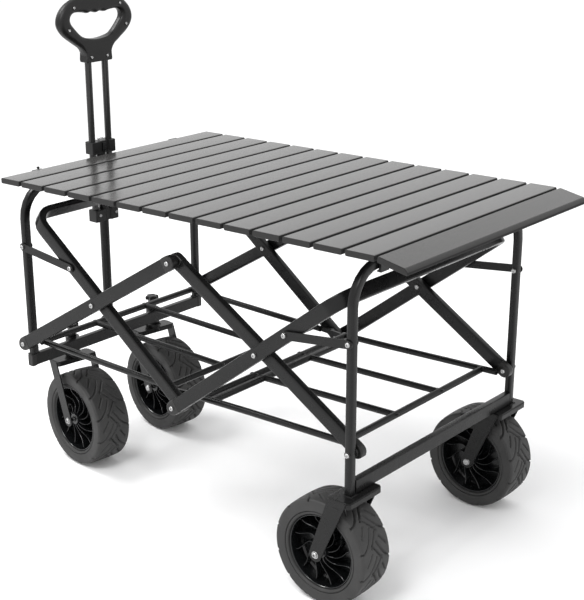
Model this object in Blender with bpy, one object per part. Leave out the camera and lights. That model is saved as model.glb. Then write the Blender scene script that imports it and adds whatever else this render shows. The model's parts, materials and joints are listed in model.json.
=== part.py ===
"""Folding camp wagon: scissor frame on four wheels, pull handle and slatted table top.

Front, the handle end, is -X. Near is -Y. All sizes are in metres.
Positions are worked out from below the middle of the open frame. The last step moves every
piece so that the origin lies on the ground under the middle of the wagon's footprint.
"""
import math

import bmesh
import bpy
from mathutils import Matrix, Vector

# ---------------------------------------------------------------- driving dimensions
GAP = 0.0003                   # air between pieces that touch
FOOTPRINT_MIDDLE = 0.0208      # x of the footprint's middle, from the frame's middle
GROUND_Z = 0.0095              # height of the ground in those positions
SIDES = (("near", -1), ("far", 1))

# Scissor frame
END_X = 0.4005                 # end frames, to either side of the middle
PIVOT_Z = 0.2968               # lowest pivots
ARM_ANGLE = math.radians(31.5)
CROSS_X = 0.1980               # where long arms and U-frames cross
BASE_Z = 0.2696                # pivot where the two U-frames meet
LINK_X, LINK_Z = 0.2685, 0.4906
INNER_Y, OUTER_Y = 0.2305, 0.2485
ARM_WIDTH, ARM_THICKNESS, ARM_CORNER = 0.026, 0.014, 0.003
ARM_OVERRUN = 0.0135           # tube and its round plug, beyond the pivot
NOSE_ROUND, NOSE_STEPS = 0.0125, 4   # length over which the plug narrows to its tip
BAR_REACH = 0.222              # U-frame, from the crossing to its cross bar
BAR_BEND = 0.035
PIN_RADIUS, BORE_RADIUS = 0.0040, 0.0045
OPEN_PIN_RADIUS, OPEN_BORE_RADIUS = 0.0030, 0.0082
WASHER_RADIUS = 0.009
PIN_PROUD = 0.0020             # pin beyond the piece that it passes through

# End frames
LEG_X, LEG_Y = 0.014, 0.016    # section of the arch tube on its legs
LEG_ROUND = 0.004
FRONT_LEG_Y, REAR_LEG_Y = 0.2300, 0.2505
FRONT_TOP_Z, REAR_TOP_Z = 0.6120, 0.6170
ARCH_BEND = 0.060
FRONT_TUBE_X, FRONT_TUBE_LOW, FRONT_TUBE_HIGH = 0.013, 0.2465, 0.2705
FRONT_TUBE_HALF = 0.2405
REAR_TUBE_X, REAR_TUBE_LOW, REAR_TUBE_HIGH = 0.014, 0.2228, 0.2478

# Links beside the legs
LINK_THICKNESS, LINK_WIDTH = 0.0025, 0.015
FRONT_LINK_Y, REAR_LINK_Y = 0.2384, 0.2590

# Wheels
WHEEL_RADIUS, WHEEL_WIDTH = 0.0970, 0.075
AXLE_Z = GROUND_Z + WHEEL_RADIUS
RIM_RADIUS = 0.0680
WHEEL_STEPS = 32
AXLE_RADIUS, AXLE_BORE = 0.0040, 0.0044
BOLT_HEAD_RADIUS, BOLT_HEAD_DEPTH = 0.0080, 0.0045
FORK_HALF, SHEET = 0.0460, 0.0026
CASTER_STEM_X, CASTER_TRAIL, CASTER_Y = -0.4200, 0.0400, 0.1145
CASTER_TURN = math.radians(-8)   # how far both casters stand turned at rest
CASTER_PLATE_LEFT, CASTER_PLATE_RIGHT, CASTER_PLATE_Z = -0.4400, -0.4050, 0.2265
CASTER_LIP, REAR_LIP = 0.0090, 0.0100    # height of each plate's folded rear edge
REAR_AXLE_X, REAR_WHEEL_Y = 0.3525, 0.2340
REAR_PLATE_LEFT, REAR_PLATE_RIGHT, REAR_PLATE_Z = 0.3740, 0.4220, 0.2225
FRONT_BOSS, REAR_BOSS = 0.0120, 0.0124   # radius of the fork arms' ends about the axle
STEM_RADIUS, SOCKET_RADIUS, THREAD_RADIUS = 0.0085, 0.0135, 0.0050
SOCKET_LOW, SOCKET_HIGH = 0.2470, 0.2700
STEM_TOP, THREAD_TOP = 0.2790, 0.2920
NUT_LOW, NUT_SKIRT, NUT_HIGH = 0.2793, 0.2885, 0.2980
NUT_RADIUS, NUT_LOBE, NUT_LOBES = 0.0122, 0.0020, 6

# Bed of welded rods
ROD_RADIUS, INNER_ROD_RADIUS = 0.0064, 0.0060
GRID_HINGE_X, GRID_HINGE_Z = -0.3940, 0.2915
GRID_MIDDLE_Z = 0.2840
GRID_SIDE_Y, GRID_INNER_Y, GRID_TAIL_Y = 0.2105, 0.0700, 0.2150
TAB_ROD_X, TAB_ROOT_X = 0.0300, 0.0340   # side rods start, and hinge tabs end, from the middle
TAB_HALF, TAB_RADIUS, TAB_HALF_HEIGHT = 0.0055, 0.0062, 0.0040
TAB_PIN, TAB_BORE = 0.0028, 0.0033
HINGE_ROD_HALF = 0.2165                  # half length of the rod at the front hinge
FRONT_RUNG_X, FRONT_RUNG_HALF = -0.0500, 0.2110
# Cross rods of the rear grid: place, half length and share of the full rod radius.
REAR_RUNGS = ((0.0340, 0.2100, 0.98), (0.0580, 0.2110, 0.97), (0.3600, 0.2140, 0.98))
RAIL_BEND_X, RAIL_OVERLAP = 0.1500, 0.0020
GRID_END_X, GRID_END_Z = 0.3920, 0.2950

# Pull handle
HANDLE_X = -0.4330
HANDLE_HINGE_Z = 0.2720
COLUMN_RADIUS, TWIN_RADIUS, TWIN_Y = 0.0095, 0.00675, 0.0220
UPPER_LOW, UPPER_HIGH = 0.6290, 0.6540
SLIDER_LOW, SLIDER_HIGH = 0.4890, 0.5140
BRACKET_HALF_Y, BRACKET_HALF_X = 0.0308, 0.0122
COLUMN_BORE, COLUMN_FOOT = 0.0034, 0.0095   # hinge bore, and how far the column runs below it
BUTTON_RADIUS, BUTTON_WELL, BUTTON_RISE = 0.0060, 0.0065, 0.0060
GRIP_LOW, GRIP_HIGH, GRIP_THICKNESS = 0.8120, 0.9420, 0.0220
GRIP_SOCKET = 0.0250           # how far the twin tubes go into the grip
EYE_Z, EYE_HALF_Y, EYE_HALF_Z, EYE_POWER = 0.8850, 0.0660, 0.0265, 2.6   # finger opening

# Table top
SLAT_PITCH, SLAT_WIDTH, SLAT_THICKNESS = 0.0625, 0.0560, 0.0105
SLAT_LENGTH, SLAT_WALL, SLAT_ROUND = 0.5518, 0.0014, 0.0026
SLAT_COUNT = 15
FIRST_SLAT_X, FIRST_SLAT_WIDTH = -0.4035, 0.0500
TABLE_LEFT_X = -0.4095         # where the first slat's edge would be at full width
TABLE_Z, TABLE_SLOPE = 0.6420, 0.0239
END_SLAT_WIDTH, END_SLAT_DROOP = 0.0580, math.radians(10.5)
CLIP_Y, CLIP_HALF = 0.1840, 0.0110
CLIP_LEG, CLIP_AIR = 0.0050, 0.0010      # thickness of a clip's leg, and air beside the tube
FRONT_CLIP_TOP, FRONT_CLIP_INNER_X, REAR_CLIP_INNER_X = 0.6300, -0.3850, 0.3960


# ---------------------------------------------------------------- materials
def finish(name, colour, roughness, metallic):
    """A Principled material with one colour."""
    material = bpy.data.materials.new(name)
    material.use_nodes = True
    shader = material.node_tree.nodes["Principled BSDF"]
    shader.inputs["Base Color"].default_value = (*colour, 1.0)
    shader.inputs["Roughness"].default_value = roughness
    shader.inputs["Metallic"].default_value = metallic
    return material


# ---------------------------------------------------------------- mesh tools
def rounded_rectangle(width, height, radius, steps=2):
    """Outline of a rectangle with round corners, as (u, v) points in turn."""
    points = []
    for corner in range(4):
        middle = math.pi / 4 + corner * math.pi / 2
        centre_u = math.copysign(width / 2 - radius, math.cos(middle))
        centre_v = math.copysign(height / 2 - radius, math.sin(middle))
        for step in range(steps + 1):
            angle = corner * math.pi / 2 + step / steps * math.pi / 2
            points.append((centre_u + radius * math.cos(angle), centre_v + radius * math.sin(angle)))
    return points


def circle(radius, sides):
    """Outline of a circle whose flats, not corners, lie on the axes."""
    turn = 2 * math.pi / sides
    return [(radius * math.cos((k + 0.5) * turn), radius * math.sin((k + 0.5) * turn))
            for k in range(sides)]


def loft(rings, closed=False):
    """Closed mesh through rings of points: with end faces, or joined end to end if closed."""
    mesh = bmesh.new()
    loops = [[mesh.verts.new(point) for point in ring] for ring in rings]
    count = len(loops[0])
    spans = len(loops) if closed else len(loops) - 1
    for k in range(spans):
        here, there = loops[k], loops[(k + 1) % len(loops)]
        for j in range(count):
            mesh.faces.new((here[j], here[(j + 1) % count], there[(j + 1) % count], there[j]))
    if not closed:
        mesh.faces.new(list(reversed(loops[0])))
        mesh.faces.new(loops[-1])
    bmesh.ops.recalc_face_normals(mesh, faces=mesh.faces)
    return mesh


def sweep(path, normal, section, end_round=0.0, round_steps=2):
    """Tube along a flat path. section(inset) gives (along normal, across path) points."""
    normal = Vector(normal).normalized()
    path = [Vector(point) for point in path]
    stations = []
    for k, point in enumerate(path):
        before = (point - path[k - 1]).normalized() if k else None
        after = (path[k + 1] - point).normalized() if k + 1 < len(path) else None
        tangent = ((before or after) + (after or before)).normalized()
        mitre = tangent.dot(after or before)
        stations.append((point, tangent, 0.0, 1.0 / mitre))
    if end_round:
        first, last = [], []
        for step in range(round_steps + 1):
            angle = (1.0 - step / round_steps) * math.pi / 2
            along = end_round * (1.0 - math.sin(angle))
            inset = end_round * (1.0 - math.cos(angle))
            first.append((path[0] + stations[0][1] * along, stations[0][1], inset, 1.0))
            last.append((path[-1] - stations[-1][1] * along, stations[-1][1], inset, 1.0))
        stations = first + stations[1:-1] + last[::-1]
    rings = []
    for point, tangent, inset, stretch in stations:
        across = tangent.cross(normal).normalized() * stretch
        rings.append([point + normal * u + across * v for u, v in section(inset)])
    return loft(rings)


def rod(start, end, radius, sides=12):
    """Round bar between two points."""
    start, end = Vector(start), Vector(end)
    side = Vector((0, 0, 1)) if abs((end - start).normalized().z) < 0.9 else Vector((1, 0, 0))
    normal = side.cross(end - start)
    return sweep([start, end], normal, lambda inset: circle(radius, sides))


def box(low, high, bevel=0.0):
    """Box between two corners, with its edges rounded by bevel."""
    mesh = bmesh.new()
    bmesh.ops.create_cube(mesh, size=1.0)
    low, high = Vector(low), Vector(high)
    bmesh.ops.scale(mesh, vec=high - low, verts=mesh.verts)
    bmesh.ops.translate(mesh, vec=(low + high) / 2, verts=mesh.verts)
    if bevel:
        bmesh.ops.bevel(mesh, geom=mesh.edges, offset=bevel, segments=2, profile=0.5,
                        affect="EDGES")
    return mesh


def plate(outline, y_low, y_high):
    """Flat plate: an (x, z) outline extruded along Y."""
    return loft([[(x, y, z) for x, z in outline] for y in (y_low, y_high)])


def turned(profile, centre, steps):
    """Ring turned about the Y axis through centre, from a closed (radius, y) profile."""
    rings = []
    for k in range(steps):
        angle = (k + 0.5) / steps * 2 * math.pi
        rings.append([(centre[0] + r * math.cos(angle), centre[1] + y, centre[2] + r * math.sin(angle))
                      for r, y in profile])
    return loft(rings, closed=True)


def combine(mesh, other, operation):
    """Boolean of two closed meshes, as one new mesh. Both inputs are used up."""
    objects = []
    for label, part in (("target", mesh), ("tool", other)):
        data = bpy.data.meshes.new(label)
        part.to_mesh(data)
        part.free()
        objects.append(bpy.data.objects.new(label, data))
        bpy.context.collection.objects.link(objects[-1])
    modifier = objects[0].modifiers.new("join", "BOOLEAN")
    modifier.operation, modifier.object, modifier.solver = operation, objects[1], "EXACT"
    evaluated = objects[0].evaluated_get(bpy.context.evaluated_depsgraph_get())
    result = bmesh.new()
    result.from_mesh(evaluated.to_mesh())
    evaluated.to_mesh_clear()
    for item in objects:
        data = item.data
        bpy.data.objects.remove(item)
        bpy.data.meshes.remove(data)
    bmesh.ops.remove_doubles(result, verts=result.verts, dist=0.00001)
    return result


def joined(meshes):
    """Boolean union of overlapping closed meshes."""
    whole = meshes[0]
    for mesh in meshes[1:]:
        whole = combine(whole, mesh, "UNION")
    return whole


def cut(mesh, tools):
    """The mesh with each tool taken out of it."""
    for tool in tools:
        mesh = combine(mesh, tool, "DIFFERENCE")
    return mesh


def piece(name, mesh, material, origin=(0, 0, 0)):
    """Scene object from a mesh in world coordinates, with its origin on its joint."""
    bmesh.ops.translate(mesh, vec=-Vector(origin), verts=mesh.verts)
    data = bpy.data.meshes.new(name)
    mesh.to_mesh(data)
    mesh.free()
    data.materials.append(material)
    data.shade_smooth()
    data.set_sharp_from_angle(angle=math.radians(35))
    item = bpy.data.objects.new(name, data)
    item.location = origin
    bpy.context.collection.objects.link(item)
    return item


# ---------------------------------------------------------------- linkage geometry
def pivots(end):
    """Pivots of one half as (x, z): end is -1 for the front half and 1 for the rear half."""
    rise = math.tan(ARM_ANGLE)
    cross_z = PIVOT_Z + (END_X - CROSS_X) * rise
    slope = (cross_z - BASE_Z) / CROSS_X
    return {"foot": (end * END_X, PIVOT_Z), "peak": (0.0, PIVOT_Z + END_X * rise),
            "cross": (end * CROSS_X, cross_z), "base": (0.0, BASE_Z),
            "link": (end * LINK_X, BASE_Z + LINK_X * slope), "leg_link": (end * END_X, LINK_Z)}


def pin(point, y_from, y_to, radius=PIN_RADIUS, sides=12):
    """Round pin along Y at an (x, z) pivot."""
    x, z = point
    return rod((x, y_from, z), (x, y_to, z), radius, sides)


def arm_section(inset):
    """Arm tube: its thickness lies along Y and its width, which inset narrows, across the arm."""
    width = ARM_WIDTH - 2 * inset
    return rounded_rectangle(ARM_THICKNESS, width, min(ARM_CORNER, 0.45 * width))


def bar_section(inset):
    """U-frame tube: its width, which inset narrows, lies along the U's normal."""
    width = ARM_WIDTH - 2 * inset
    return rounded_rectangle(width, ARM_THICKNESS, min(ARM_CORNER, 0.45 * width))


def leg_section(inset):
    """Arch tube: LEG_X along the wagon, LEG_Y across it."""
    return rounded_rectangle(LEG_X - 2 * inset, LEG_Y - 2 * inset, LEG_ROUND)


def boss_and_pin(point, side, y_face, y_mate, y_end, radius=PIN_RADIUS):
    """Washer and pin that stand inwards from a layer's face, for both to join its piece."""
    overlap = 0.002
    washer = pin(point, side * (y_face + overlap), side * (y_mate + GAP), WASHER_RADIUS)
    shaft = pin(point, side * (y_face + overlap), side * y_end, radius)
    return [washer, shaft]


# ---------------------------------------------------------------- end frames
def arch_path(x, leg_y, foot_z, top_z):
    """Middle line of an arch, from the near foot over the top to the far foot."""
    top = top_z - LEG_Y / 2
    path = [Vector((x, -leg_y, foot_z))]
    steps = 6
    for side in (-1, 1):
        for k in range(steps + 1):
            angle = k / steps * math.pi / 2
            if side > 0:
                angle = math.pi / 2 - angle
            y = side * (leg_y - ARCH_BEND + ARCH_BEND * math.cos(angle))
            path.append(Vector((x, y, top - ARCH_BEND + ARCH_BEND * math.sin(angle))))
    path.append(Vector((x, leg_y, foot_z)))
    return path


def make_front_frame(paint):
    """Front arch on its cross tube, which carries the caster sockets and handle ears."""
    points = pivots(-1)
    path = arch_path(-END_X, FRONT_LEG_Y, FRONT_TUBE_HIGH + GAP, FRONT_TOP_Z)
    arch = sweep(path, (1, 0, 0), leg_section)
    for _, side in SIDES:
        for name in ("foot", "leg_link"):
            low, high = side * (FRONT_LEG_Y - LEG_Y), side * (FRONT_LEG_Y + LEG_Y)
            arch = combine(arch, pin(points[name], low, high, BORE_RADIUS), "DIFFERENCE")
    piece("front_arch", arch, paint, (-END_X, 0, FRONT_TUBE_HIGH))

    middle_z = (FRONT_TUBE_LOW + FRONT_TUBE_HIGH) / 2
    height = FRONT_TUBE_HIGH - FRONT_TUBE_LOW

    def section(inset):
        return rounded_rectangle(FRONT_TUBE_X - 2 * inset, height - 2 * inset, 0.0025)

    ends = [(-END_X, -FRONT_TUBE_HALF, middle_z), (-END_X, FRONT_TUBE_HALF, middle_z)]
    parts = [sweep(ends, (1, 0, 0), section, end_round=0.002)]
    for _, side in SIDES:
        foot = (CASTER_STEM_X, side * CASTER_Y, SOCKET_LOW)
        head = (CASTER_STEM_X, side * CASTER_Y, SOCKET_HIGH)
        parts.append(rod(foot, head, SOCKET_RADIUS + 0.0005, 20))
    ear_inner, ear_outer, ear_radius = 0.0110, 0.0140, 0.0100
    root_x = -END_X - FRONT_TUBE_X / 2 + 0.001
    for _, side in SIDES:
        low_y, high_y = sorted((side * ear_inner, side * ear_outer))
        nose = [(HANDLE_X + ear_radius * math.cos(a), HANDLE_HINGE_Z + ear_radius * math.sin(a))
                for a in (math.radians(90 + 30 * k) for k in range(7))]
        parts.append(plate(nose + [(root_x, FRONT_TUBE_LOW + 0.003), (root_x, FRONT_TUBE_HIGH - 0.002)],
                           low_y, high_y))
    parts.append(pin((HANDLE_X, HANDLE_HINGE_Z), -ear_outer - 0.002, ear_outer + 0.002, 0.003, 12))
    tube = joined(parts)
    bores = []
    for _, side in SIDES:
        foot = (CASTER_STEM_X, side * CASTER_Y, SOCKET_LOW - 0.01)
        head = (CASTER_STEM_X, side * CASTER_Y, SOCKET_HIGH + 0.01)
        bores.append(rod(foot, head, STEM_RADIUS + 0.0005, 16))
    piece("front_cross_tube", cut(tube, bores), paint, (-END_X, 0, middle_z))


def make_rear_frame(paint):
    """Rear arch with its inward pivot pins, and the cross tube between its feet."""
    points = pivots(1)
    path = arch_path(END_X, REAR_LEG_Y, REAR_TUBE_LOW, REAR_TOP_Z)
    arch = sweep(path, (1, 0, 0), leg_section)
    inner_face = REAR_LEG_Y - LEG_Y / 2
    mate = INNER_Y + ARM_THICKNESS / 2
    for _, side in SIDES:
        low, high = side * (REAR_LEG_Y - LEG_Y), side * (REAR_LEG_Y + LEG_Y)
        arch = combine(arch, pin(points["leg_link"], low, high, BORE_RADIUS), "DIFFERENCE")
        end = INNER_Y - ARM_THICKNESS / 2 - 0.0005
        arch = joined([arch] + boss_and_pin(points["foot"], side, inner_face, mate, end))
    piece("rear_arch", arch, paint, (END_X, 0, REAR_TUBE_LOW))

    half = inner_face - GAP
    middle_z = (REAR_TUBE_LOW + REAR_TUBE_HIGH) / 2
    height = REAR_TUBE_HIGH - REAR_TUBE_LOW

    def section(inset):
        return rounded_rectangle(REAR_TUBE_X - 2 * inset, height - 2 * inset, 0.0025)

    tube = sweep([(END_X, -half, middle_z), (END_X, half, middle_z)], (1, 0, 0), section)
    piece("rear_cross_tube", tube, paint, (END_X, 0, middle_z))


# ---------------------------------------------------------------- scissor arms
def arm_mesh(start, end, y):
    """Straight arm tube through two (x, z) pivots, with its rounded end plugs."""
    a, b = Vector((start[0], y, start[1])), Vector((end[0], y, end[1]))
    along = (b - a).normalized() * ARM_OVERRUN
    return sweep([a - along, b + along], (0, 1, 0), arm_section, NOSE_ROUND, NOSE_STEPS)


def make_long_arms(paint):
    """The four long arms: front ones outside, with the pins, and rear ones inside, bored."""
    front, rear = pivots(-1), pivots(1)
    outer_face = OUTER_Y - ARM_THICKNESS / 2
    inner_outer_face = INNER_Y + ARM_THICKNESS / 2
    through = INNER_Y - ARM_THICKNESS / 2 - PIN_PROUD
    for label, side in SIDES:
        arm = arm_mesh(front["foot"], front["peak"], side * OUTER_Y)
        parts = [arm]
        leg_face = FRONT_LEG_Y + LEG_Y / 2
        parts += boss_and_pin(front["foot"], side, outer_face, leg_face, FRONT_LEG_Y - LEG_Y / 2 - 0.001)
        for name in ("cross", "peak"):
            parts += boss_and_pin(front[name], side, outer_face, inner_outer_face, through)
        piece("front_arm_" + label, joined(parts), paint, (front["foot"][0], side * OUTER_Y, PIVOT_Z))

        arm = arm_mesh(rear["peak"], rear["foot"], side * INNER_Y)
        low, high = side * (INNER_Y - ARM_THICKNESS), side * (INNER_Y + ARM_THICKNESS)
        bores = [pin(rear[name], low, high, BORE_RADIUS) for name in ("peak", "cross", "foot")]
        piece("rear_arm_" + label, cut(arm, bores), paint, (0, side * INNER_Y, rear["peak"][1]))


def u_frame_mesh(end, y):
    """Bent tube: up both sides from the base pivots and across between the end frames."""
    points = pivots(end)
    base = Vector((points["base"][0], 0, points["base"][1]))
    cross = Vector((points["cross"][0], 0, points["cross"][1]))
    along = (cross - base).normalized()
    low = base - along * ARM_OVERRUN
    high = cross + along * BAR_REACH
    corner = high - along * BAR_BEND
    path = [low + Vector((0, -y, 0))]
    steps = 5
    for side in (-1, 1):
        for k in range(steps + 1):
            angle = k / steps * math.pi / 2
            if side > 0:
                angle = math.pi / 2 - angle
            across = Vector((0, side * (y - BAR_BEND + BAR_BEND * math.cos(angle)), 0))
            path.append(corner + across + along * BAR_BEND * math.sin(angle))
    path.append(low + Vector((0, y, 0)))
    return sweep(path, along.cross(Vector((0, 1, 0))), bar_section, NOSE_ROUND, NOSE_STEPS)


def make_u_frames(paint):
    """The front U-frame lies inside and is bored, the rear one lies outside with the pins."""
    front, rear = pivots(-1), pivots(1)
    mesh = u_frame_mesh(-1, INNER_Y)
    for _, side in SIDES:
        span = (side * (INNER_Y - ARM_THICKNESS), side * (INNER_Y + ARM_THICKNESS))
        bores = [pin(front["cross"], *span, BORE_RADIUS), pin(front["base"], *span, OPEN_BORE_RADIUS)]
        mesh = cut(mesh, bores)
    piece("front_u_frame", mesh, paint, (front["cross"][0], 0, front["cross"][1]))

    face = OUTER_Y - ARM_THICKNESS / 2
    mate = INNER_Y + ARM_THICKNESS / 2
    through = INNER_Y - ARM_THICKNESS / 2 - PIN_PROUD
    parts = [u_frame_mesh(1, OUTER_Y)]
    for _, side in SIDES:
        parts += boss_and_pin(rear["cross"], side, face, mate, through)
        parts += boss_and_pin(rear["base"], side, face, mate, through, OPEN_PIN_RADIUS)
    piece("rear_u_frame", joined(parts), paint, (rear["cross"][0], 0, rear["cross"][1]))


def link_mesh(start, end, y_low, y_high):
    """Flat strip with round ends, about two (x, z) holes."""
    start, end = Vector(start), Vector(end)
    heading = math.atan2(end.y - start.y, end.x - start.x)
    steps = 6
    outline = []
    for centre, first in ((end, -math.pi / 2), (start, math.pi / 2)):
        for k in range(steps + 1):
            angle = heading + first + k / steps * math.pi
            radius = LINK_WIDTH / 2
            outline.append((centre.x + radius * math.cos(angle), centre.y + radius * math.sin(angle)))
    return plate(outline, y_low, y_high)


def make_links(paint):
    """Flat links from the legs to the U-frames, each with the pin that it turns on."""
    for prefix, end, face, leg_y in (("front", -1, FRONT_LINK_Y, FRONT_LEG_Y),
                                     ("rear", 1, REAR_LINK_Y, REAR_LEG_Y)):
        points = pivots(end)
        for label, side in SIDES:
            low, high = sorted((side * face, side * (face + LINK_THICKNESS)))
            strip = link_mesh(points["leg_link"], points["link"], low, high)
            shaft_end = leg_y - LEG_Y / 2 - PIN_PROUD
            shaft = pin(points["leg_link"], side * (face + 0.001), side * shaft_end)
            origin = (points["leg_link"][0], side * face, points["leg_link"][1])
            piece(prefix + "_link_" + label, joined([strip, shaft]), paint, origin)


# ---------------------------------------------------------------- wheels and forks
def fork_arm_outline(top_left, top_right, top_z, axle, radius):
    """Side plate: straight edges from its top to the round boss about the axle."""
    centre = Vector(axle)
    angles = []
    for corner, sign in ((top_left, 1), (top_right, -1)):
        away = Vector((corner, top_z)) - centre
        angles.append(math.atan2(away.y, away.x) + sign * math.acos(radius / away.length))
    start, stop = angles[0], angles[1] + 2 * math.pi
    steps = 8
    outline = [(top_right, top_z), (top_left, top_z)]
    for k in range(steps + 1):
        angle = start + (stop - start) * k / steps
        outline.append((centre.x + radius * math.cos(angle), centre.y + radius * math.sin(angle)))
    return outline


def fork_mesh(left, right, top_z, axle, y, boss_radius):
    """Bent sheet: a top plate and two arms with axle bores."""
    parts = [box((left, y - FORK_HALF, top_z - SHEET), (right, y + FORK_HALF, top_z))]
    outline = fork_arm_outline(left, right, top_z, axle, boss_radius)
    for side in (-1, 1):
        low, high = sorted((y + side * FORK_HALF, y + side * (FORK_HALF - SHEET)))
        parts.append(plate(outline, low, high))
    return joined(parts)


def axle_bore(axle, y):
    """Cutter for the axle through both arms of a fork."""
    return pin(axle, y - FORK_HALF - 0.01, y + FORK_HALF + 0.01, AXLE_BORE)


def folded_lip(right, y, top_z, height):
    """Rear edge of a fork's plate, folded down."""
    return box((right - SHEET, y - FORK_HALF, top_z - height), (right, y + FORK_HALF, top_z))


def swivelled(item, side):
    """Turn a piece about its caster's stem, from straight ahead to how it stands at rest."""
    turn = Matrix.Rotation(CASTER_TURN, 4, "Z")
    stem = Vector((CASTER_STEM_X, side * CASTER_Y, 0))
    item.data.transform(turn)
    item.location = stem + turn @ (item.location - stem)


def upright(x, y, low, high, radius, steps=16):
    """Round bar that stands on end."""
    return rod((x, y, low), (x, y, high), radius, steps)


def make_caster(label, side, paint, plastic):
    """Swivel fork with its stem, and the star nut that holds the stem in its socket."""
    x, y = CASTER_STEM_X, side * CASTER_Y
    axle = (CASTER_STEM_X + CASTER_TRAIL, AXLE_Z)
    fork = fork_mesh(CASTER_PLATE_LEFT, CASTER_PLATE_RIGHT, CASTER_PLATE_Z, axle, y, FRONT_BOSS)
    lip = folded_lip(CASTER_PLATE_RIGHT, y, CASTER_PLATE_Z, CASTER_LIP)
    bearing = upright(x, y, CASTER_PLATE_Z - 0.008, SOCKET_LOW - GAP * 5, SOCKET_RADIUS, 20)
    stem = upright(x, y, CASTER_PLATE_Z, STEM_TOP, STEM_RADIUS)
    thread = upright(x, y, STEM_TOP - 0.0010, THREAD_TOP, THREAD_RADIUS, 12)
    fork = cut(joined([fork, lip, bearing, stem, thread]), [axle_bore(axle, y)])
    swivelled(piece("caster_fork_" + label, fork, paint, (x, y, CASTER_PLATE_Z)), side)

    points = 36
    star, round_skirt = [], []
    for k in range(points):
        angle = k / points * 2 * math.pi
        radius = NUT_RADIUS + NUT_LOBE * math.cos(NUT_LOBES * angle)
        star.append((radius * math.cos(angle), radius * math.sin(angle)))
        round_skirt.append((STEM_RADIUS * math.cos(angle), STEM_RADIUS * math.sin(angle)))
    levels = ((round_skirt, NUT_LOW, 1.0), (round_skirt, NUT_SKIRT, 1.0), (star, NUT_SKIRT + 0.0010, 0.96),
              (star, NUT_SKIRT + 0.0020, 1.0), (star, NUT_HIGH - 0.0015, 1.0), (star, NUT_HIGH, 0.90))
    rings = [[(x + u * scale, y + v * scale, z) for u, v in outline] for outline, z, scale in levels]
    bore = upright(x, y, SOCKET_HIGH, THREAD_TOP + 0.0010, THREAD_RADIUS + GAP, 12)
    piece("caster_nut_" + label, cut(loft(rings), [bore]), plastic, (x, y, NUT_LOW))
    return axle


def make_rear_fork(label, side, paint):
    """Fixed fork whose rear edge is folded down."""
    y = side * REAR_WHEEL_Y
    axle = (REAR_AXLE_X, AXLE_Z)
    fork = fork_mesh(REAR_PLATE_LEFT, REAR_PLATE_RIGHT, REAR_PLATE_Z, axle, y, REAR_BOSS)
    lip = folded_lip(REAR_PLATE_RIGHT, y, REAR_PLATE_Z, REAR_LIP)
    fork = cut(joined([fork, lip]), [axle_bore(axle, y)])
    piece("rear_fork_" + label, fork, paint, (REAR_AXLE_X, y, AXLE_Z))
    return axle


def make_wheel(label, axle, y, rubber, rim_plastic, steel):
    """Tyre, rim and axle bolt about one (x, z) axle; returns the three pieces."""
    centre = (axle[0], y, axle[1])
    # Turned rings have flats at their lowest point, so corners lie a little further out.
    corner = 1 / math.cos(math.pi / WHEEL_STEPS)
    half = WHEEL_WIDTH / 2
    tread = [(WHEEL_RADIUS * corner, half - 0.0090), ((WHEEL_RADIUS - 0.0050) * corner, half - 0.0025),
             (WHEEL_RADIUS - 0.0150, half), (RIM_RADIUS + 0.0080, half - 0.0015),
             (RIM_RADIUS * corner, half - 0.0045)]
    profile = tread + [(r, -y_side) for r, y_side in reversed(tread)]
    tyre = piece("tyre_" + label, turned(profile, centre, WHEEL_STEPS), rubber, centre)

    outer = RIM_RADIUS - GAP
    dish = [(outer, half - 0.0040), (outer - 0.0035, half - 0.0040), (outer - 0.0050, 0.0060),
            (0.0170, 0.0030), (0.0150, 0.0300), (AXLE_BORE, 0.0320)]
    profile = dish + [(r, -y_side) for r, y_side in reversed(dish)]
    rim = piece("rim_" + label, turned(profile, centre, 24), rim_plastic, centre)

    tip = FORK_HALF + GAP
    chamfer = 0.0015
    head_face = tip + BOLT_HEAD_DEPTH
    end = [(BOLT_HEAD_RADIUS - chamfer, head_face), (BOLT_HEAD_RADIUS, head_face - chamfer),
           (BOLT_HEAD_RADIUS, tip), (AXLE_RADIUS, tip)]
    profile = [(radius, -reach) for radius, reach in end] + list(reversed(end))
    rings = [[(axle[0] + u, y + reach, axle[1] + v) for u, v in circle(radius, 12)]
             for radius, reach in profile]
    bolt = piece("axle_bolt_" + label, loft(rings), steel, centre)
    return tyre, rim, bolt


# ---------------------------------------------------------------- bed
def grid_height(x):
    """Height of the bed rods, which run in a shallow V from the front hinge to the rear."""
    if x < 0:
        return GRID_MIDDLE_Z + (GRID_HINGE_Z - GRID_MIDDLE_Z) * x / GRID_HINGE_X
    return GRID_MIDDLE_Z + (GRID_END_Z - GRID_MIDDLE_Z) * x / GRID_END_X


def grid_point(x, y):
    """Point on the middle line of a bed rod."""
    return (x, y, grid_height(x))


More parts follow.
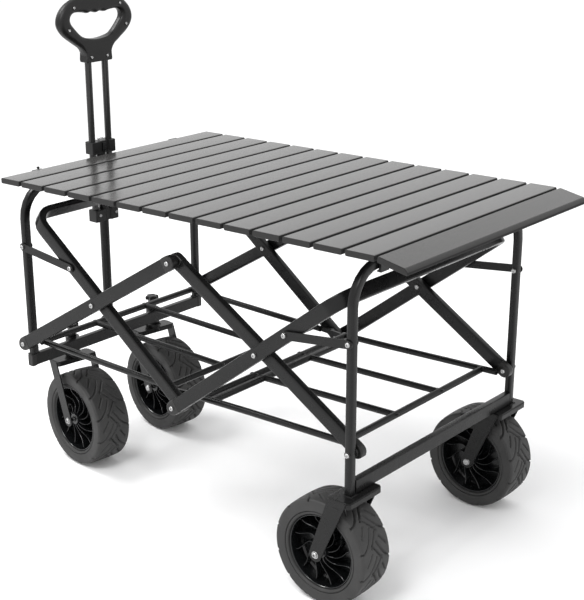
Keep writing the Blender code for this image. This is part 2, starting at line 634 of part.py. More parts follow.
def make_bed(paint):
    """Two welded grids that hinge to each other in the middle of the bed."""
    hinge = (GRID_HINGE_X, 0, GRID_HINGE_Z)
    tab_low, tab_high = GRID_SIDE_Y - TAB_HALF, GRID_SIDE_Y + TAB_HALF
    middle = GRID_SIDE_Y
    rods = ((GRID_HINGE_X, HINGE_ROD_HALF, 1.0), (FRONT_RUNG_X, FRONT_RUNG_HALF, 0.98))
    parts = [rod(grid_point(x, -half), grid_point(x, half), ROD_RADIUS * share) for x, half, share in rods]
    for _, side in SIDES:
        parts.append(rod(grid_point(GRID_HINGE_X, side * middle), grid_point(-TAB_ROD_X, side * middle),
                         ROD_RADIUS * 0.96))
        inner = side * GRID_INNER_Y
        parts.append(rod(grid_point(GRID_HINGE_X, inner), grid_point(FRONT_RUNG_X, inner), INNER_ROD_RADIUS))
        low, high = sorted((side * (middle + GAP), side * tab_high))
        parts.append(link_tab(-TAB_ROOT_X, 0.0, low, high))
        parts.append(pin((0.0, GRID_MIDDLE_Z), side * (tab_high - 0.001), side * tab_low, TAB_PIN, 12))
    piece("bed_grid_front", joined(parts), paint, hinge)

    parts = [rod(grid_point(x, -half), grid_point(x, half), ROD_RADIUS * share)
             for x, half, share in REAR_RUNGS]
    for _, side in SIDES:
        bend = grid_point(RAIL_BEND_X, side * middle)
        tail = grid_point(GRID_END_X, side * GRID_TAIL_Y)
        parts.append(rod(grid_point(TAB_ROD_X, side * middle), bend, ROD_RADIUS * 0.96))
        parts.append(rod(grid_point(RAIL_BEND_X - RAIL_OVERLAP, side * middle), tail, ROD_RADIUS * 0.95))
        inner = side * (GRID_INNER_Y - 0.002)
        first, last = REAR_RUNGS[1][0], REAR_RUNGS[2][0]
        parts.append(rod(grid_point(first, inner), grid_point(last, inner), INNER_ROD_RADIUS))
        low, high = sorted((side * tab_low, side * (middle - GAP)))
        parts.append(link_tab(TAB_ROOT_X, 0.0, low, high))
    bores = [pin((0.0, GRID_MIDDLE_Z), side * (middle + 0.01), side * (middle - 0.01), TAB_BORE, 12)
             for _, side in SIDES]
    piece("bed_grid_rear", cut(joined(parts), bores), paint, (0, 0, GRID_MIDDLE_Z))


def link_tab(x_root, x_pivot, low, high):
    """Flattened rod end with a round nose about the bed's middle hinge."""
    heading = 1 if x_pivot > x_root else -1
    outline = [(x_root, GRID_MIDDLE_Z + TAB_HALF_HEIGHT), (x_root, GRID_MIDDLE_Z - TAB_HALF_HEIGHT)]
    for k in range(7):
        angle = heading * (-math.pi / 2 + k / 6 * math.pi)
        outline.append((x_pivot + heading * TAB_RADIUS * math.cos(angle),
                        GRID_MIDDLE_Z + heading * TAB_RADIUS * math.sin(angle)))
    return plate(outline, low, high)


# ---------------------------------------------------------------- pull handle
def make_handle(paint, plastic, button_plastic, rubber):
    """Column on the hinge, collar with its release button, sliding twin tubes and grip."""
    hinge = (HANDLE_X, 0, HANDLE_HINGE_Z)
    column_top = UPPER_HIGH - 0.0060
    foot = (HANDLE_X, 0, HANDLE_HINGE_Z - COLUMN_FOOT)
    column = rod(foot, (HANDLE_X, 0, column_top), COLUMN_RADIUS, 20)
    bore = pin((HANDLE_X, HANDLE_HINGE_Z), -0.02, 0.02, COLUMN_BORE, 12)
    piece("handle_column", cut(column, [bore]), paint, hinge)

    def bracket(low, high):
        return box((HANDLE_X - BRACKET_HALF_X, -BRACKET_HALF_Y, low),
                   (HANDLE_X + BRACKET_HALF_X, BRACKET_HALF_Y, high), 0.0025)

    def bore_at(y, low, high, radius):
        return upright(HANDLE_X, y, low, high, radius)

    twin_bore = TWIN_RADIUS + 0.0005
    collar = cut(bracket(UPPER_LOW, UPPER_HIGH), [
        bore_at(0, UPPER_LOW - 0.01, column_top + GAP, COLUMN_RADIUS + 0.0004),
        bore_at(0, column_top - 0.001, UPPER_HIGH + 0.01, BUTTON_WELL),
        bore_at(-TWIN_Y, UPPER_LOW - 0.01, UPPER_HIGH + 0.01, twin_bore),
        bore_at(TWIN_Y, UPPER_LOW - 0.01, UPPER_HIGH + 0.01, twin_bore)])
    piece("handle_collar", collar, plastic, (HANDLE_X, 0, UPPER_LOW))

    button = loft([[(HANDLE_X + u, v, z) for u, v in circle(radius, 16)]
                   for radius, z in ((BUTTON_RADIUS, column_top + 0.0036),
                                     (BUTTON_RADIUS, UPPER_HIGH + BUTTON_RISE - 0.0015),
                                     (BUTTON_RADIUS * 0.8, UPPER_HIGH + BUTTON_RISE))])
    piece("release_button", button, button_plastic, (HANDLE_X, 0, UPPER_HIGH))

    slider = cut(bracket(SLIDER_LOW, SLIDER_HIGH), [
        bore_at(0, SLIDER_LOW - 0.01, SLIDER_HIGH + 0.01, COLUMN_RADIUS + 0.0005),
        bore_at(-TWIN_Y, SLIDER_LOW + 0.004, SLIDER_HIGH + 0.01, TWIN_RADIUS + 0.0004),
        bore_at(TWIN_Y, SLIDER_LOW + 0.004, SLIDER_HIGH + 0.01, TWIN_RADIUS + 0.0004)])
    piece("handle_slider", slider, plastic, (HANDLE_X, 0, SLIDER_LOW))

    twin_low, twin_high = SLIDER_LOW + 0.0045, GRIP_LOW + GRIP_SOCKET
    for label, side in SIDES:
        tube = upright(HANDLE_X, side * TWIN_Y, twin_low, twin_high, TWIN_RADIUS)
        piece("handle_tube_" + label, tube, paint, (HANDLE_X, side * TWIN_Y, twin_low))

    sockets = [bore_at(side * TWIN_Y, GRIP_LOW - 0.01, twin_high + GAP, TWIN_RADIUS + 0.0004)
               for _, side in SIDES]
    piece("handle_grip", cut(grip_mesh(), sockets), rubber, (HANDLE_X, 0, GRIP_LOW))


def grip_outline(points=40):
    """Outer (y, z) points of the grip: wide rounded head that narrows to a neck."""
    half = [(0.0, GRIP_LOW), (0.026, GRIP_LOW), (0.0335, GRIP_LOW + 0.003), (0.0325, 0.8260),
            (0.0425, 0.8395), (0.059, 0.8500), (0.083, 0.8680), (0.094, 0.8850), (0.0935, 0.9010),
            (0.084, 0.9180), (0.066, 0.9310), (0.035, 0.9400), (0.0, GRIP_HIGH)]
    ring = half + [(-y, z) for y, z in reversed(half[1:-1])]
    count = len(ring)
    outline = []
    for k in range(points):
        place = k / points * count
        index, t = int(place), place % 1.0
        p = [Vector(ring[(index + j) % count]) for j in (-1, 0, 1, 2)]
        outline.append(0.5 * (2 * p[1] + (p[2] - p[0]) * t + (2 * p[0] - 5 * p[1] + 4 * p[2] - p[3]) * t ** 2
                              + (3 * p[1] - p[0] - 3 * p[2] + p[3]) * t ** 3))
    return outline


def grip_mesh():
    """Loop handle: one round-cornered section carried once round the finger opening."""
    edge = 0.0065
    rings = []
    for outer in grip_outline():
        away = outer - Vector((0, EYE_Z))
        heading = away.normalized()
        spread = abs(heading.x / EYE_HALF_Y) ** EYE_POWER + abs(heading.y / EYE_HALF_Z) ** EYE_POWER
        inner_reach = spread ** (-1 / EYE_POWER)
        middle = (away.length + inner_reach) / 2
        depth = away.length - inner_reach
        ring = []
        for u, v in rounded_rectangle(depth, GRIP_THICKNESS, edge, 2):
            reach = middle + u
            ring.append((HANDLE_X + v, heading.x * reach, EYE_Z + heading.y * reach))
        rings.append(ring)
    return loft(rings, closed=True)


# ---------------------------------------------------------------- table top
def table_top_z(x):
    """Height of the table's top face, which rises a little towards the rear."""
    return TABLE_Z + TABLE_SLOPE * x


def slat_mesh(width):
    """Hollow slat about the origin, its top face at z = 0, open at both ends."""
    outer = rounded_rectangle(width, SLAT_THICKNESS, SLAT_ROUND)
    hollow = 2 * SLAT_WALL
    inner = rounded_rectangle(width - hollow, SLAT_THICKNESS - hollow, SLAT_ROUND - SLAT_WALL)
    half = SLAT_LENGTH / 2
    rings = []
    for outline, y in ((outer, -half), (outer, half), (inner, half), (inner, -half)):
        rings.append([(u, y, v - SLAT_THICKNESS / 2) for u, v in outline])
    return loft(rings, closed=True)


def make_table(paint, plastic):
    """Slats side by side on the two arches, the last one drooping, and the clips below."""
    tilt = -math.atan(TABLE_SLOPE)
    for index in range(SLAT_COUNT):
        name = "slat_%02d" % (index + 1)
        if index == SLAT_COUNT - 1:
            width, angle = END_SLAT_WIDTH, END_SLAT_DROOP
            left = TABLE_LEFT_X + index * SLAT_PITCH
            x = left + width / 2 * math.cos(angle)
            z = table_top_z(left) - width / 2 * math.sin(angle)
        else:
            width = FIRST_SLAT_WIDTH if index == 0 else SLAT_WIDTH
            left = FIRST_SLAT_X if index == 0 else TABLE_LEFT_X + index * SLAT_PITCH
            angle, x = tilt, left + width / 2
            z = table_top_z(x)
        mesh = slat_mesh(width)
        bmesh.ops.rotate(mesh, cent=(0, 0, 0), matrix=Matrix.Rotation(angle, 3, "Y"), verts=mesh.verts)
        bmesh.ops.translate(mesh, vec=(x, 0, z), verts=mesh.verts)
        piece(name, mesh, paint, (x, 0, z))

    clear = LEG_X / 2 + CLIP_AIR
    for label, side in SIDES:
        low_y, high_y = side * CLIP_Y - CLIP_HALF, side * CLIP_Y + CLIP_HALF
        for prefix, end, tube_top, inner_x in (("front", -1, FRONT_TOP_Z, FRONT_CLIP_INNER_X),
                                               ("rear", 1, REAR_TOP_Z, REAR_CLIP_INNER_X)):
            face = end * (END_X + clear)
            outer_x = face + end * CLIP_LEG
            saddle_x = sorted((outer_x, inner_x))
            under = min(table_top_z(x) for x in saddle_x) - SLAT_THICKNESS / math.cos(tilt) - GAP
            saddle = box((saddle_x[0], low_y, tube_top + CLIP_AIR), (saddle_x[1], high_y, under))
            leg_x = sorted((face, outer_x))
            leg_low = tube_top - LEG_Y - 0.0035
            leg_top = under if end > 0 else FRONT_CLIP_TOP
            meshes = [saddle, box((leg_x[0], low_y, leg_low), (leg_x[1], high_y, leg_top))]
            if end > 0:
                lip_x = sorted((outer_x, face - end * 0.0030))
                meshes.append(box((lip_x[0], low_y, leg_low - 0.0010), (lip_x[1], high_y, leg_low + 0.0020)))
            piece(prefix + "_clip_" + label, joined(meshes), plastic, (end * END_X, side * CLIP_Y, under))


# ---------------------------------------------------------------- whole wagon
def build():
    """Clear the scene and make every piece of the wagon."""
    for item in list(bpy.data.objects):
        bpy.data.objects.remove(item)
    frame_paint = finish("black_powder_coat", (0.030, 0.031, 0.034), 0.38, 0.35)
    slat_paint = finish("grey_slat_coat", (0.205, 0.205, 0.212), 0.42, 0.55)
    plastic = finish("black_moulded_plastic", (0.018, 0.018, 0.020), 0.45, 0.0)
    button_plastic = finish("silver_button", (0.62, 0.63, 0.65), 0.30, 0.6)
    grip_rubber = finish("grip_rubber", (0.024, 0.024, 0.026), 0.62, 0.0)
    tyre_rubber = finish("tyre_rubber", (0.020, 0.020, 0.022), 0.70, 0.0)
    rim_plastic = finish("gloss_rim", (0.016, 0.016, 0.018), 0.22, 0.0)
    steel = finish("zinc_steel", (0.66, 0.66, 0.68), 0.30, 0.95)

    make_front_frame(frame_paint)
    make_rear_frame(frame_paint)
    make_long_arms(frame_paint)
    make_u_frames(frame_paint)
    make_links(frame_paint)
    make_bed(frame_paint)
    for label, side in SIDES:
        axle = make_caster(label, side, frame_paint, plastic)
        for item in make_wheel("front_" + label, axle, side * CASTER_Y, tyre_rubber, rim_plastic, steel):
            swivelled(item, side)
        axle = make_rear_fork(label, side, frame_paint)
        make_wheel("rear_" + label, axle, side * REAR_WHEEL_Y, tyre_rubber, rim_plastic, steel)
    make_handle(frame_paint, plastic, button_plastic, grip_rubber)
    make_table(slat_paint, plastic)
    for item in bpy.data.objects:
        item.location.x -= FOOTPRINT_MIDDLE
        item.location.z -= GROUND_Z


build()
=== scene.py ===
"""Looks of the folding camp wagon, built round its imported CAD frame.

The frame's tubes, slats and rods keep their CAD shapes and get their finishes here. Tyres, rims,
axles, forks, star nuts, the last slat, the grip and the handle brackets are modelled again in detail.
End caps, rivets, bolts, screws, welds and the slats' cords are added. Front, the handle end, is -X
and near is -Y.
"""
import json
from math import acos, atan2, copysign, cos, hypot, pi, radians, sin, tan, tau

import bmesh
import bpy
import numpy as np
from mathutils import Matrix, Vector
from mathutils.geometry import interpolate_bezier


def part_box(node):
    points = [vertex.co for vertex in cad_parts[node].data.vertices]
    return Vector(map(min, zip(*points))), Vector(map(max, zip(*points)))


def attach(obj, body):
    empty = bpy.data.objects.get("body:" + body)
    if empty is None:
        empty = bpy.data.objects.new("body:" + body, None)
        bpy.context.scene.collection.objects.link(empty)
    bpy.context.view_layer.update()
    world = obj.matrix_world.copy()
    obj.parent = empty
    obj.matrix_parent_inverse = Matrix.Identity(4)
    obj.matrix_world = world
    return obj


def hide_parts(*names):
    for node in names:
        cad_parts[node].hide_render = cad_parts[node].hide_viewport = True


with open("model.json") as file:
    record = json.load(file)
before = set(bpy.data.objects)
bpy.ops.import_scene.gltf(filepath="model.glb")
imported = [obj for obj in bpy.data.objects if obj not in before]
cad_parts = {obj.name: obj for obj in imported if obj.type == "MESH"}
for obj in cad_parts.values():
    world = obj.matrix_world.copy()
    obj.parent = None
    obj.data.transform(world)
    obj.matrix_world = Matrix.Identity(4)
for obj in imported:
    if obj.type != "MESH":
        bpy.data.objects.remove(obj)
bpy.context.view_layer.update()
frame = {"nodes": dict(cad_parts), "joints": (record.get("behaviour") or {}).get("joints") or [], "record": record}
SIDES = (("near", -1), ("far", 1))
JOINT = {joint["name"]: joint for joint in frame["joints"]}


def middle(node):
    """Middle of a CAD node's box."""
    low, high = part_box(node)
    return (low + high) / 2


def pivot(joint):
    """Point on a hinge's axis at rest."""
    return Vector(JOINT[joint]["pos_m"])


# ---- sizes read from the frame
FOOT, PEAK, REAR_FOOT = pivot("frame_fold"), pivot("peak_pivot"), pivot("rear_foot_pivot")
FRONT_CROSS, REAR_CROSS = pivot("front_cross_pivot"), pivot("rear_cross_pivot")
FRONT_LEG_LINK, REAR_LEG_LINK = pivot("front_link_pivot"), pivot("rear_link_pivot")
ARM_ANGLE = atan2(PEAK.z - FOOT.z, PEAK.x - FOOT.x)
ARM_WIDTH, ARM_THICKNESS, ARM_LAYER = 0.026, 0.014, 0.018  # layer: from outer to inner arms
LEG_WIDTH, LEG_DEPTH = 0.014, 0.016  # tube of the arches' legs, along x and along y
ARM_OUTER_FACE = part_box("rear_u_frame")[1].y
ARM_INNER_FACE = ARM_OUTER_FACE - ARM_LAYER - ARM_THICKNESS
BASE_DROP = 0.0272
BASE = Vector((PEAK.x, 0, FOOT.z - BASE_DROP))  # where the two U-frames meet
U_SLOPE = atan2(REAR_CROSS.z - BASE.z, REAR_CROSS.x - BASE.x)
WHEEL_RADIUS = middle("tyre_rear_near").z
WHEEL_HALF = (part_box("tyre_rear_near")[1].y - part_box("tyre_rear_near")[0].y) / 2
RIM_SEAT = 0.0680  # radius where tyre and rim meet
SLATS = ["slat_%02d" % (k + 1) for k in range(15)]


# ---- materials
def graph(name):
    """New node material: its tree and its Principled shader."""
    material = bpy.data.materials.new(name)
    material.use_nodes = True
    return material, material.node_tree, material.node_tree.nodes["Principled BSDF"]


def texture_node(tree, kind, **values):
    """New node with its inputs set; _ in an input's name stands for a space."""
    node = tree.nodes.new("ShaderNode" + kind)
    for name, value in values.items():
        node.inputs[name.replace("_", " ")].default_value = value
    return node


def noise(tree, scale, detail=4.0, stretch=(1, 1, 1)):
    """Noise over the object's own coordinates."""
    place_in_object = tree.nodes.new("ShaderNodeTexCoord").outputs["Object"]
    spread = texture_node(tree, "Mapping", Scale=stretch)
    tree.links.new(place_in_object, spread.inputs["Vector"])
    texture = texture_node(tree, "TexNoise", Scale=scale, Detail=detail)
    tree.links.new(spread.outputs["Vector"], texture.inputs["Vector"])
    return texture.outputs["Fac"]


def between(tree, value, low, high, start=0.3, stop=0.7):
    """A texture's value spread from low to high."""
    spread = texture_node(tree, "MapRange", From_Min=start, From_Max=stop, To_Min=low, To_Max=high)
    tree.links.new(value, spread.inputs["Value"])
    return spread.outputs["Result"]


def colours(tree, value, dark, light, start=0.3, stop=0.7):
    """A texture's value as a colour between two."""
    ramp = texture_node(tree, "ValToRGB")
    for element, position, colour in zip(ramp.color_ramp.elements, (start, stop), (dark, light)):
        element.position, element.color = position, (*colour, 1)
    tree.links.new(value, ramp.inputs["Fac"])
    return ramp.outputs["Color"]


def bump(tree, shader, layers):
    """Chain of bumps, each (height value, depth in metres)."""
    normal = None
    for value, depth in layers:
        node = texture_node(tree, "Bump", Strength=1.0, Distance=depth)
        tree.links.new(value, node.inputs["Height"])
        if normal is not None:
            tree.links.new(normal, node.inputs["Normal"])
        normal = node.outputs["Normal"]
    tree.links.new(normal, shader.inputs["Normal"])


def coating(name, dark, light, rough, grain, depth, metallic=0.0, ior=1.5, patch=14.0, ripple=None):
    """Coated or moulded surface: patchy tone and roughness over a fine grain."""
    material, tree, shader = graph(name)
    shader.inputs["Metallic"].default_value = metallic
    shader.inputs["IOR"].default_value = ior
    tone = noise(tree, patch, 6.0)
    tree.links.new(colours(tree, tone, dark, light), shader.inputs["Base Color"])
    tree.links.new(between(tree, noise(tree, patch * 3.1), *rough), shader.inputs["Roughness"])
    layers = [(noise(tree, grain, 2.0), depth)]
    if ripple:
        layers.append((noise(tree, ripple[0], 1.0), ripple[1]))
    bump(tree, shader, layers)
    return material


def grey(value, warmth=0.0):
    """Near-grey colour: positive warmth is redder, negative bluer."""
    return (value * (1 + warmth), value, value * (1 - warmth))


def slat_finish():
    """Satin grey coat on aluminium: fine speckle on the faces, and painted shade that turns the narrow edges near
    black, for the shadow in the gaps between slats.
    """
    material, tree, shader = graph("slat_coat_fine")
    shader.inputs["IOR"].default_value = 1.41
    speckle = colours(tree, noise(tree, 1400.0, 2.0), grey(0.020, 0.02), grey(0.062, 0.02), 0.38, 0.62)
    shape = tree.nodes.new("ShaderNodeNewGeometry")
    split = tree.nodes.new("ShaderNodeSeparateXYZ")
    tree.links.new(shape.outputs["Normal"], split.inputs["Vector"])
    # Painted shade: faces turned away from straight up fade to near black, standing in for the shadow in the gaps
    # between slats.
    painted_shade_mix = tree.nodes.new("ShaderNodeMix")
    painted_shade_mix.data_type = "RGBA"
    tree.links.new(between(tree, split.outputs["Z"], 0.0, 1.0, 0.55, 0.85), painted_shade_mix.inputs[0])
    painted_shade_mix.inputs[6].default_value = (*grey(0.004), 1)
    tree.links.new(speckle, painted_shade_mix.inputs[7])
    tree.links.new(painted_shade_mix.outputs[2], shader.inputs["Base Color"])
    tree.links.new(between(tree, split.outputs["Z"], 0.75, 0.20, 0.55, 0.85), shader.inputs["Roughness"])
    bump(tree, shader, [(noise(tree, 1300.0, 1.0), 0.00005)])
    return material


def tyre_finish():
    """Moulded rubber: matt, faintly dusty, with a fine skin."""
    material, tree, shader = graph("tyre_rubber_fine")
    dust = noise(tree, 30.0, 8.0)
    tree.links.new(colours(tree, dust, grey(0.013), grey(0.023, 0.02)), shader.inputs["Base Color"])
    tree.links.new(between(tree, noise(tree, 60.0, 6.0), 0.52, 0.68), shader.inputs["Roughness"])
    bump(tree, shader, [(noise(tree, 900.0, 3.0), 0.00006), (noise(tree, 220.0, 2.0), 0.00004)])
    return material


def zinc_finish():
    """Bright zinc plate with fine scratches."""
    material, tree, shader = graph("zinc_plate_fine")
    shader.inputs["Metallic"].default_value = 1.0
    shade = noise(tree, 420.0, 4.0)
    tree.links.new(colours(tree, shade, grey(0.26), grey(0.50)), shader.inputs["Base Color"])
    tree.links.new(between(tree, noise(tree, 700.0, 3.0), 0.16, 0.36), shader.inputs["Roughness"])
    bump(tree, shader, [(noise(tree, 1500.0, 2.0, (1, 6, 1)), 0.00003)])
    return material


PAINT = coating("powder_coat_fine", grey(0.0050, -0.03), grey(0.0072), (0.24, 0.33), 1300.0, 0.00006,
                ior=1.31, ripple=(240.0, 0.00003))
TUBE_PAINT = coating("tube_coat_fine", grey(0.0070), grey(0.0095), (0.16, 0.22), 1300.0, 0.00003, ior=1.50)
SLAT = slat_finish()
PLASTIC = coating("moulded_plastic_fine", grey(0.0045), grey(0.0065), (0.30, 0.42), 1800.0,
                  0.00004, ior=1.36)
CAP_PLASTIC = coating("cap_plastic_fine", grey(0.0070, 0.03), grey(0.0100, 0.03), (0.30, 0.42), 1500.0,
                      0.00005, ior=1.38)
GRIP_RUBBER = coating("grip_rubber_fine", grey(0.0050, 0.02), grey(0.0075, 0.02), (0.32, 0.42), 1400.0,
                      0.00006, ior=1.35, ripple=(160.0, 0.00003))
TYRE = tyre_finish()
RIM = coating("gloss_rim_fine", grey(0.0040, -0.08), grey(0.0060, -0.08), (0.18, 0.26), 500.0,
              0.00003, ior=1.42)
ZINC = zinc_finish()
SILVER = coating("silver_lacquer_fine", grey(0.40), grey(0.52), (0.24, 0.36), 900.0, 0.00002, metallic=0.7)
CORD = coating("cord_fine", grey(0.006), grey(0.012), (0.7, 0.85), 2600.0, 0.0001)
SLOT_OF = {PAINT: "frame_coat", TUBE_PAINT: "frame_coat", SLAT: "slat_coat",
           PLASTIC: "black_plastic", CAP_PLASTIC: "black_plastic", GRIP_RUBBER: "grip_rubber",
           TYRE: "tyre_rubber", RIM: "rim_gloss", ZINC: "zinc_steel",
           SILVER: "button_silver", CORD: "black_plastic"}
# CAD nodes get the first finish of their slot.
FINISH_OF = {slot: finish for finish, slot in reversed(list(SLOT_OF.items()))}


# ---- mesh tools
NO_TURN = Matrix.Identity(3)
UPRIGHT = Matrix.Rotation(radians(90), 3, "X")  # takes +Y up
TO_REAR = Matrix.Rotation(radians(-90), 3, "Z")  # takes +Y to +X


def rounded_rectangle(width, height, radius, steps=4):
    """Outline of a rectangle with round corners, as (u, v) points in turn."""
    points = []
    for corner in range(4):
        heading = pi / 4 + corner * pi / 2
        centre_u = copysign(width / 2 - radius, cos(heading))
        centre_v = copysign(height / 2 - radius, sin(heading))
        for step in range(steps + 1):
            angle = (corner + step / steps) * pi / 2
            points.append((centre_u + radius * cos(angle), centre_v + radius * sin(angle)))
    return points


def loft(rings, closed=False):
    """Mesh through rings of points: with end faces, or joined end to end if closed."""
    mesh = bmesh.new()
    loops = [[mesh.verts.new(point) for point in ring] for ring in rings]
    count = len(loops[0])
    for k in range(len(loops) if closed else len(loops) - 1):
        here, there = loops[k], loops[(k + 1) % len(loops)]
        for j in range(count):
            mesh.faces.new((here[j], here[(j + 1) % count], there[(j + 1) % count], there[j]))
    if not closed:
        mesh.faces.new(loops[0][::-1])
        mesh.faces.new(loops[-1])
    bmesh.ops.recalc_face_normals(mesh, faces=mesh.faces)
    return mesh


def spun(radius, y, hexagon=False, steps=36):
    """Ring about the Y axis at y: round, or a hexagon with its corners at the radius."""
    ring = []
    for k in range(steps):
        angle = k / steps * tau
        reach = radius
        if hexagon:
            reach *= cos(pi / 6) / cos(angle % (pi / 3) - pi / 6)
        ring.append((reach * cos(angle), y, reach * sin(angle)))
    return ring


def turned(profile, steps=32, closed=False):
    """Solid turned about the Y axis from its (radius, y) profile, with flat ends, or a closed ring."""
    return loft([spun(radius, y, steps=steps) for radius, y in profile], closed)


def merged(meshes):
    """Several shells as one mesh."""
    whole = meshes[0]
    for mesh in meshes[1:]:
        data = bpy.data.meshes.new("shell")
        mesh.to_mesh(data)
        mesh.free()
        whole.from_mesh(data)
        bpy.data.meshes.remove(data)
    return whole


def moved(mesh, place=(0, 0, 0), turn=NO_TURN):
    """The mesh turned about the origin, then set down at a place."""
    matrix = Matrix.Translation(Vector(place)) @ turn.to_4x4()
    bmesh.ops.transform(mesh, matrix=matrix, verts=mesh.verts)
    return mesh


def mesh_data(name, mesh, material, sharp=35.0):
    """Blender mesh from a bmesh, shaded smooth up to an angle."""
    data = bpy.data.meshes.new(name)
    mesh.to_mesh(data)
    mesh.free()
    data.materials.append(material)
    data.shade_smooth()
    data.set_sharp_from_angle(angle=radians(sharp))
    return data


def true_flats(item):
    """Shading that keeps flat faces flat and bends only over their rounded edges."""
    item.modifiers.new("true_flats", "WEIGHTED_NORMAL").keep_sharp = True


def new_object(name, data):
    """Object linked to the scene."""
    item = bpy.data.objects.new(name, data)
    bpy.context.scene.collection.objects.link(item)
    return item


def place(name, data, body, location=(0, 0, 0), turn=NO_TURN, replaces=()):
    """Piece of the wagon that rides on a body."""
    item = new_object(name, data)
    item.matrix_world = Matrix.Translation(Vector(location)) @ turn.to_4x4()
    if data.materials[0] != TYRE:
        true_flats(item)
    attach(item, body)
    if replaces:
        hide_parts(*replaces)
    return item


def add(name, mesh, material, body, replaces=(), sharp=35.0):
    """Piece from a bmesh that is already in place."""
    return place(name, mesh_data(name, mesh, material, sharp), body, replaces=replaces)


def facing(side):
    """Turn that takes +Y to the outward side."""
    return Matrix.Rotation(0.0 if side > 0 else pi, 3, "Z")


# ---- carried-over CAD nodes
WELD_GAP, SPLIT_ANGLE = 0.00002, radians(34)


def finish_cad_nodes():
    """Finishes and smooth shading for the CAD solids."""
    slot_of_node = {part["node"]: part["material_slot"] for part in frame["record"]["subparts"]}
    for name, item in frame["nodes"].items():
        item.data.materials.clear()
        tube = name.startswith("handle_tube")
        item.data.materials.append(TUBE_PAINT if tube else FINISH_OF[slot_of_node[name]])
        if "custom_normal" in item.data.attributes:
            item.data.attributes.remove(item.data.attributes["custom_normal"])
        item.data.shade_smooth()
        weld = item.modifiers.new("weld", "WELD")
        weld.merge_threshold = WELD_GAP
        split = item.modifiers.new("sharp_edges", "EDGE_SPLIT")
        split.split_angle = SPLIT_ANGLE
        split.use_edge_sharp = False
        true_flats(item)


# ---- tyres
TREAD_HALF, SHOULDER = 0.0320, 0.0055  # flat part of the tread, and the radius of its shoulder
CROWN_DROP = 0.0013  # how far the tread falls off towards its sides
PITCHES, TYRE_STEPS = 12, 432  # tread blocks round each side, and steps round the mesh
GROOVE_HALF, GROOVE_DEPTH = 0.0012, 0.0028
WALL_START = 1.7  # where a groove's wall starts, in half widths
DEEPEN_FROM, DEEPEN_OVER, DEEPEN_BY = 0.030, 0.004, 0.5  # grooves deepen over the shoulder


def groove_lines():
    """Middle lines of one pitch's grooves, as (distance round, distance across) points, and the
    pitch. They are set out here as shares of the pitch round and metres across.
    """
    pitch = tau * WHEEL_RADIUS / PITCHES
    lines = []
    for side, start in ((1, 0.0), (-1, 0.5)):
        arc = [(start + 0.72 * t ** 2, 0.0380 - 0.0360 * t) for t in np.linspace(0, 1, 9)]
        bar = [(start + 0.06 + 0.60 * t, 0.0120 - 0.0230 * t) for t in (0.0, 1.0)]
        spur = [(start + 0.50 + 0.36 * t, 0.0262 - 0.0130 * t) for t in (0.0, 1.0)]
        lines += [[(pitch * share, side * across) for share, across in line] for line in (arc, bar, spur)]
    return lines, pitch


def groove_depth(around, across):
    """How far each tread point is sunk, from its distance to the nearest groove."""
    lines, pitch = groove_lines()
    along_pitch = np.mod(around, pitch)
    nearest = np.full(around.shape, 1.0)
    for line in lines:
        for (u0, v0), (u1, v1) in zip(line[:-1], line[1:]):
            length = hypot(u1 - u0, v1 - v0)
            for shift in (-pitch, 0.0, pitch):
                du, dv = along_pitch - u0 - shift, across - v0
                along = np.clip((du * (u1 - u0) + dv * (v1 - v0)) / length ** 2, 0.0, 1.0)
                gap = np.hypot(du - along * (u1 - u0), dv - along * (v1 - v0))
                nearest = np.minimum(nearest, gap)
    wall = np.clip((GROOVE_HALF * WALL_START - nearest) / GROOVE_HALF, 0.0, 1.0)
    deeper = 1.0 + DEEPEN_BY * np.clip((np.abs(across) - DEEPEN_FROM) / DEEPEN_OVER, 0.0, 1.0)
    return GROOVE_DEPTH * deeper * wall * wall * (3 - 2 * wall)


def tyre_profile():
    """Tyre section as (radius, y, distance across the tread), from the near bead over the crown."""
    half = []
    for t in np.linspace(0, 1, 25)[:-1]:
        half.append((WHEEL_RADIUS - CROWN_DROP * t * t, TREAD_HALF * t, TREAD_HALF * t))
    centre_r, centre_y = WHEEL_RADIUS - CROWN_DROP - SHOULDER, WHEEL_HALF - SHOULDER
    for t in np.linspace(0, 1, 9):
        angle = (1 - t) * pi / 2
        half.append((centre_r + SHOULDER * sin(angle), centre_y + SHOULDER * cos(angle),
                     TREAD_HALF + SHOULDER * t * pi / 2))
    wall = [(0.0855, 0.0001), (0.0770, 0.0000), (0.0752, 0.0004), (0.0746, 0.0016), (0.0740, 0.0026),
            (0.0734, 0.0016), (0.0722, 0.0008), (0.0705, 0.0010), (0.0690, 0.0024), (RIM_SEAT, 0.0048)]
    half += [(radius, WHEEL_HALF - inset, 1.0) for radius, inset in wall]
    return [(r, -y, -v) for r, y, v in half[:0:-1]] + half


def tyre_mesh():
    """Tyre about the Y axis, with its tread grooves sunk in."""
    profile = tyre_profile()
    radius, y, across = (np.array(column) for column in zip(*profile))
    tangent = np.stack([np.gradient(radius), np.gradient(y)])
    tangent /= np.hypot(*tangent)
    angle = np.arange(TYRE_STEPS) / TYRE_STEPS * tau
    depth = groove_depth(angle[:, None] * WHEEL_RADIUS, across[None, :])
    sunk_r = radius[None, :] - depth * np.abs(tangent[1])[None, :]
    sunk_y = y[None, :] + depth * tangent[0][None, :]
    rings = []
    for k in range(TYRE_STEPS):
        across_x, across_z = cos(angle[k]), sin(angle[k])
        rings.append([(r * across_x, v, r * across_z) for r, v in zip(sunk_r[k], sunk_y[k])])
    return loft(rings, closed=True)


# ---- rims
HUB_RADIUS, BARREL_RADIUS, LIP_INSET = 0.0130, 0.0630, 0.0040
RIB_COUNT, RIB_HALF, RIB_SWIRL, RIM_PHASE = 12, 0.0009, radians(38), 0.3
RIB_FOOT, RIB_TOP, RIB_HOLLOW, RIB_FALL = 0.0030, 0.0290, 0.0060, 0.0030
RIB_ROUND = 0.0006  # how far a rib's edges lie below its top
RIB_EASE = 1.15  # softens the S of the swirl: at 1 its ends run straight out


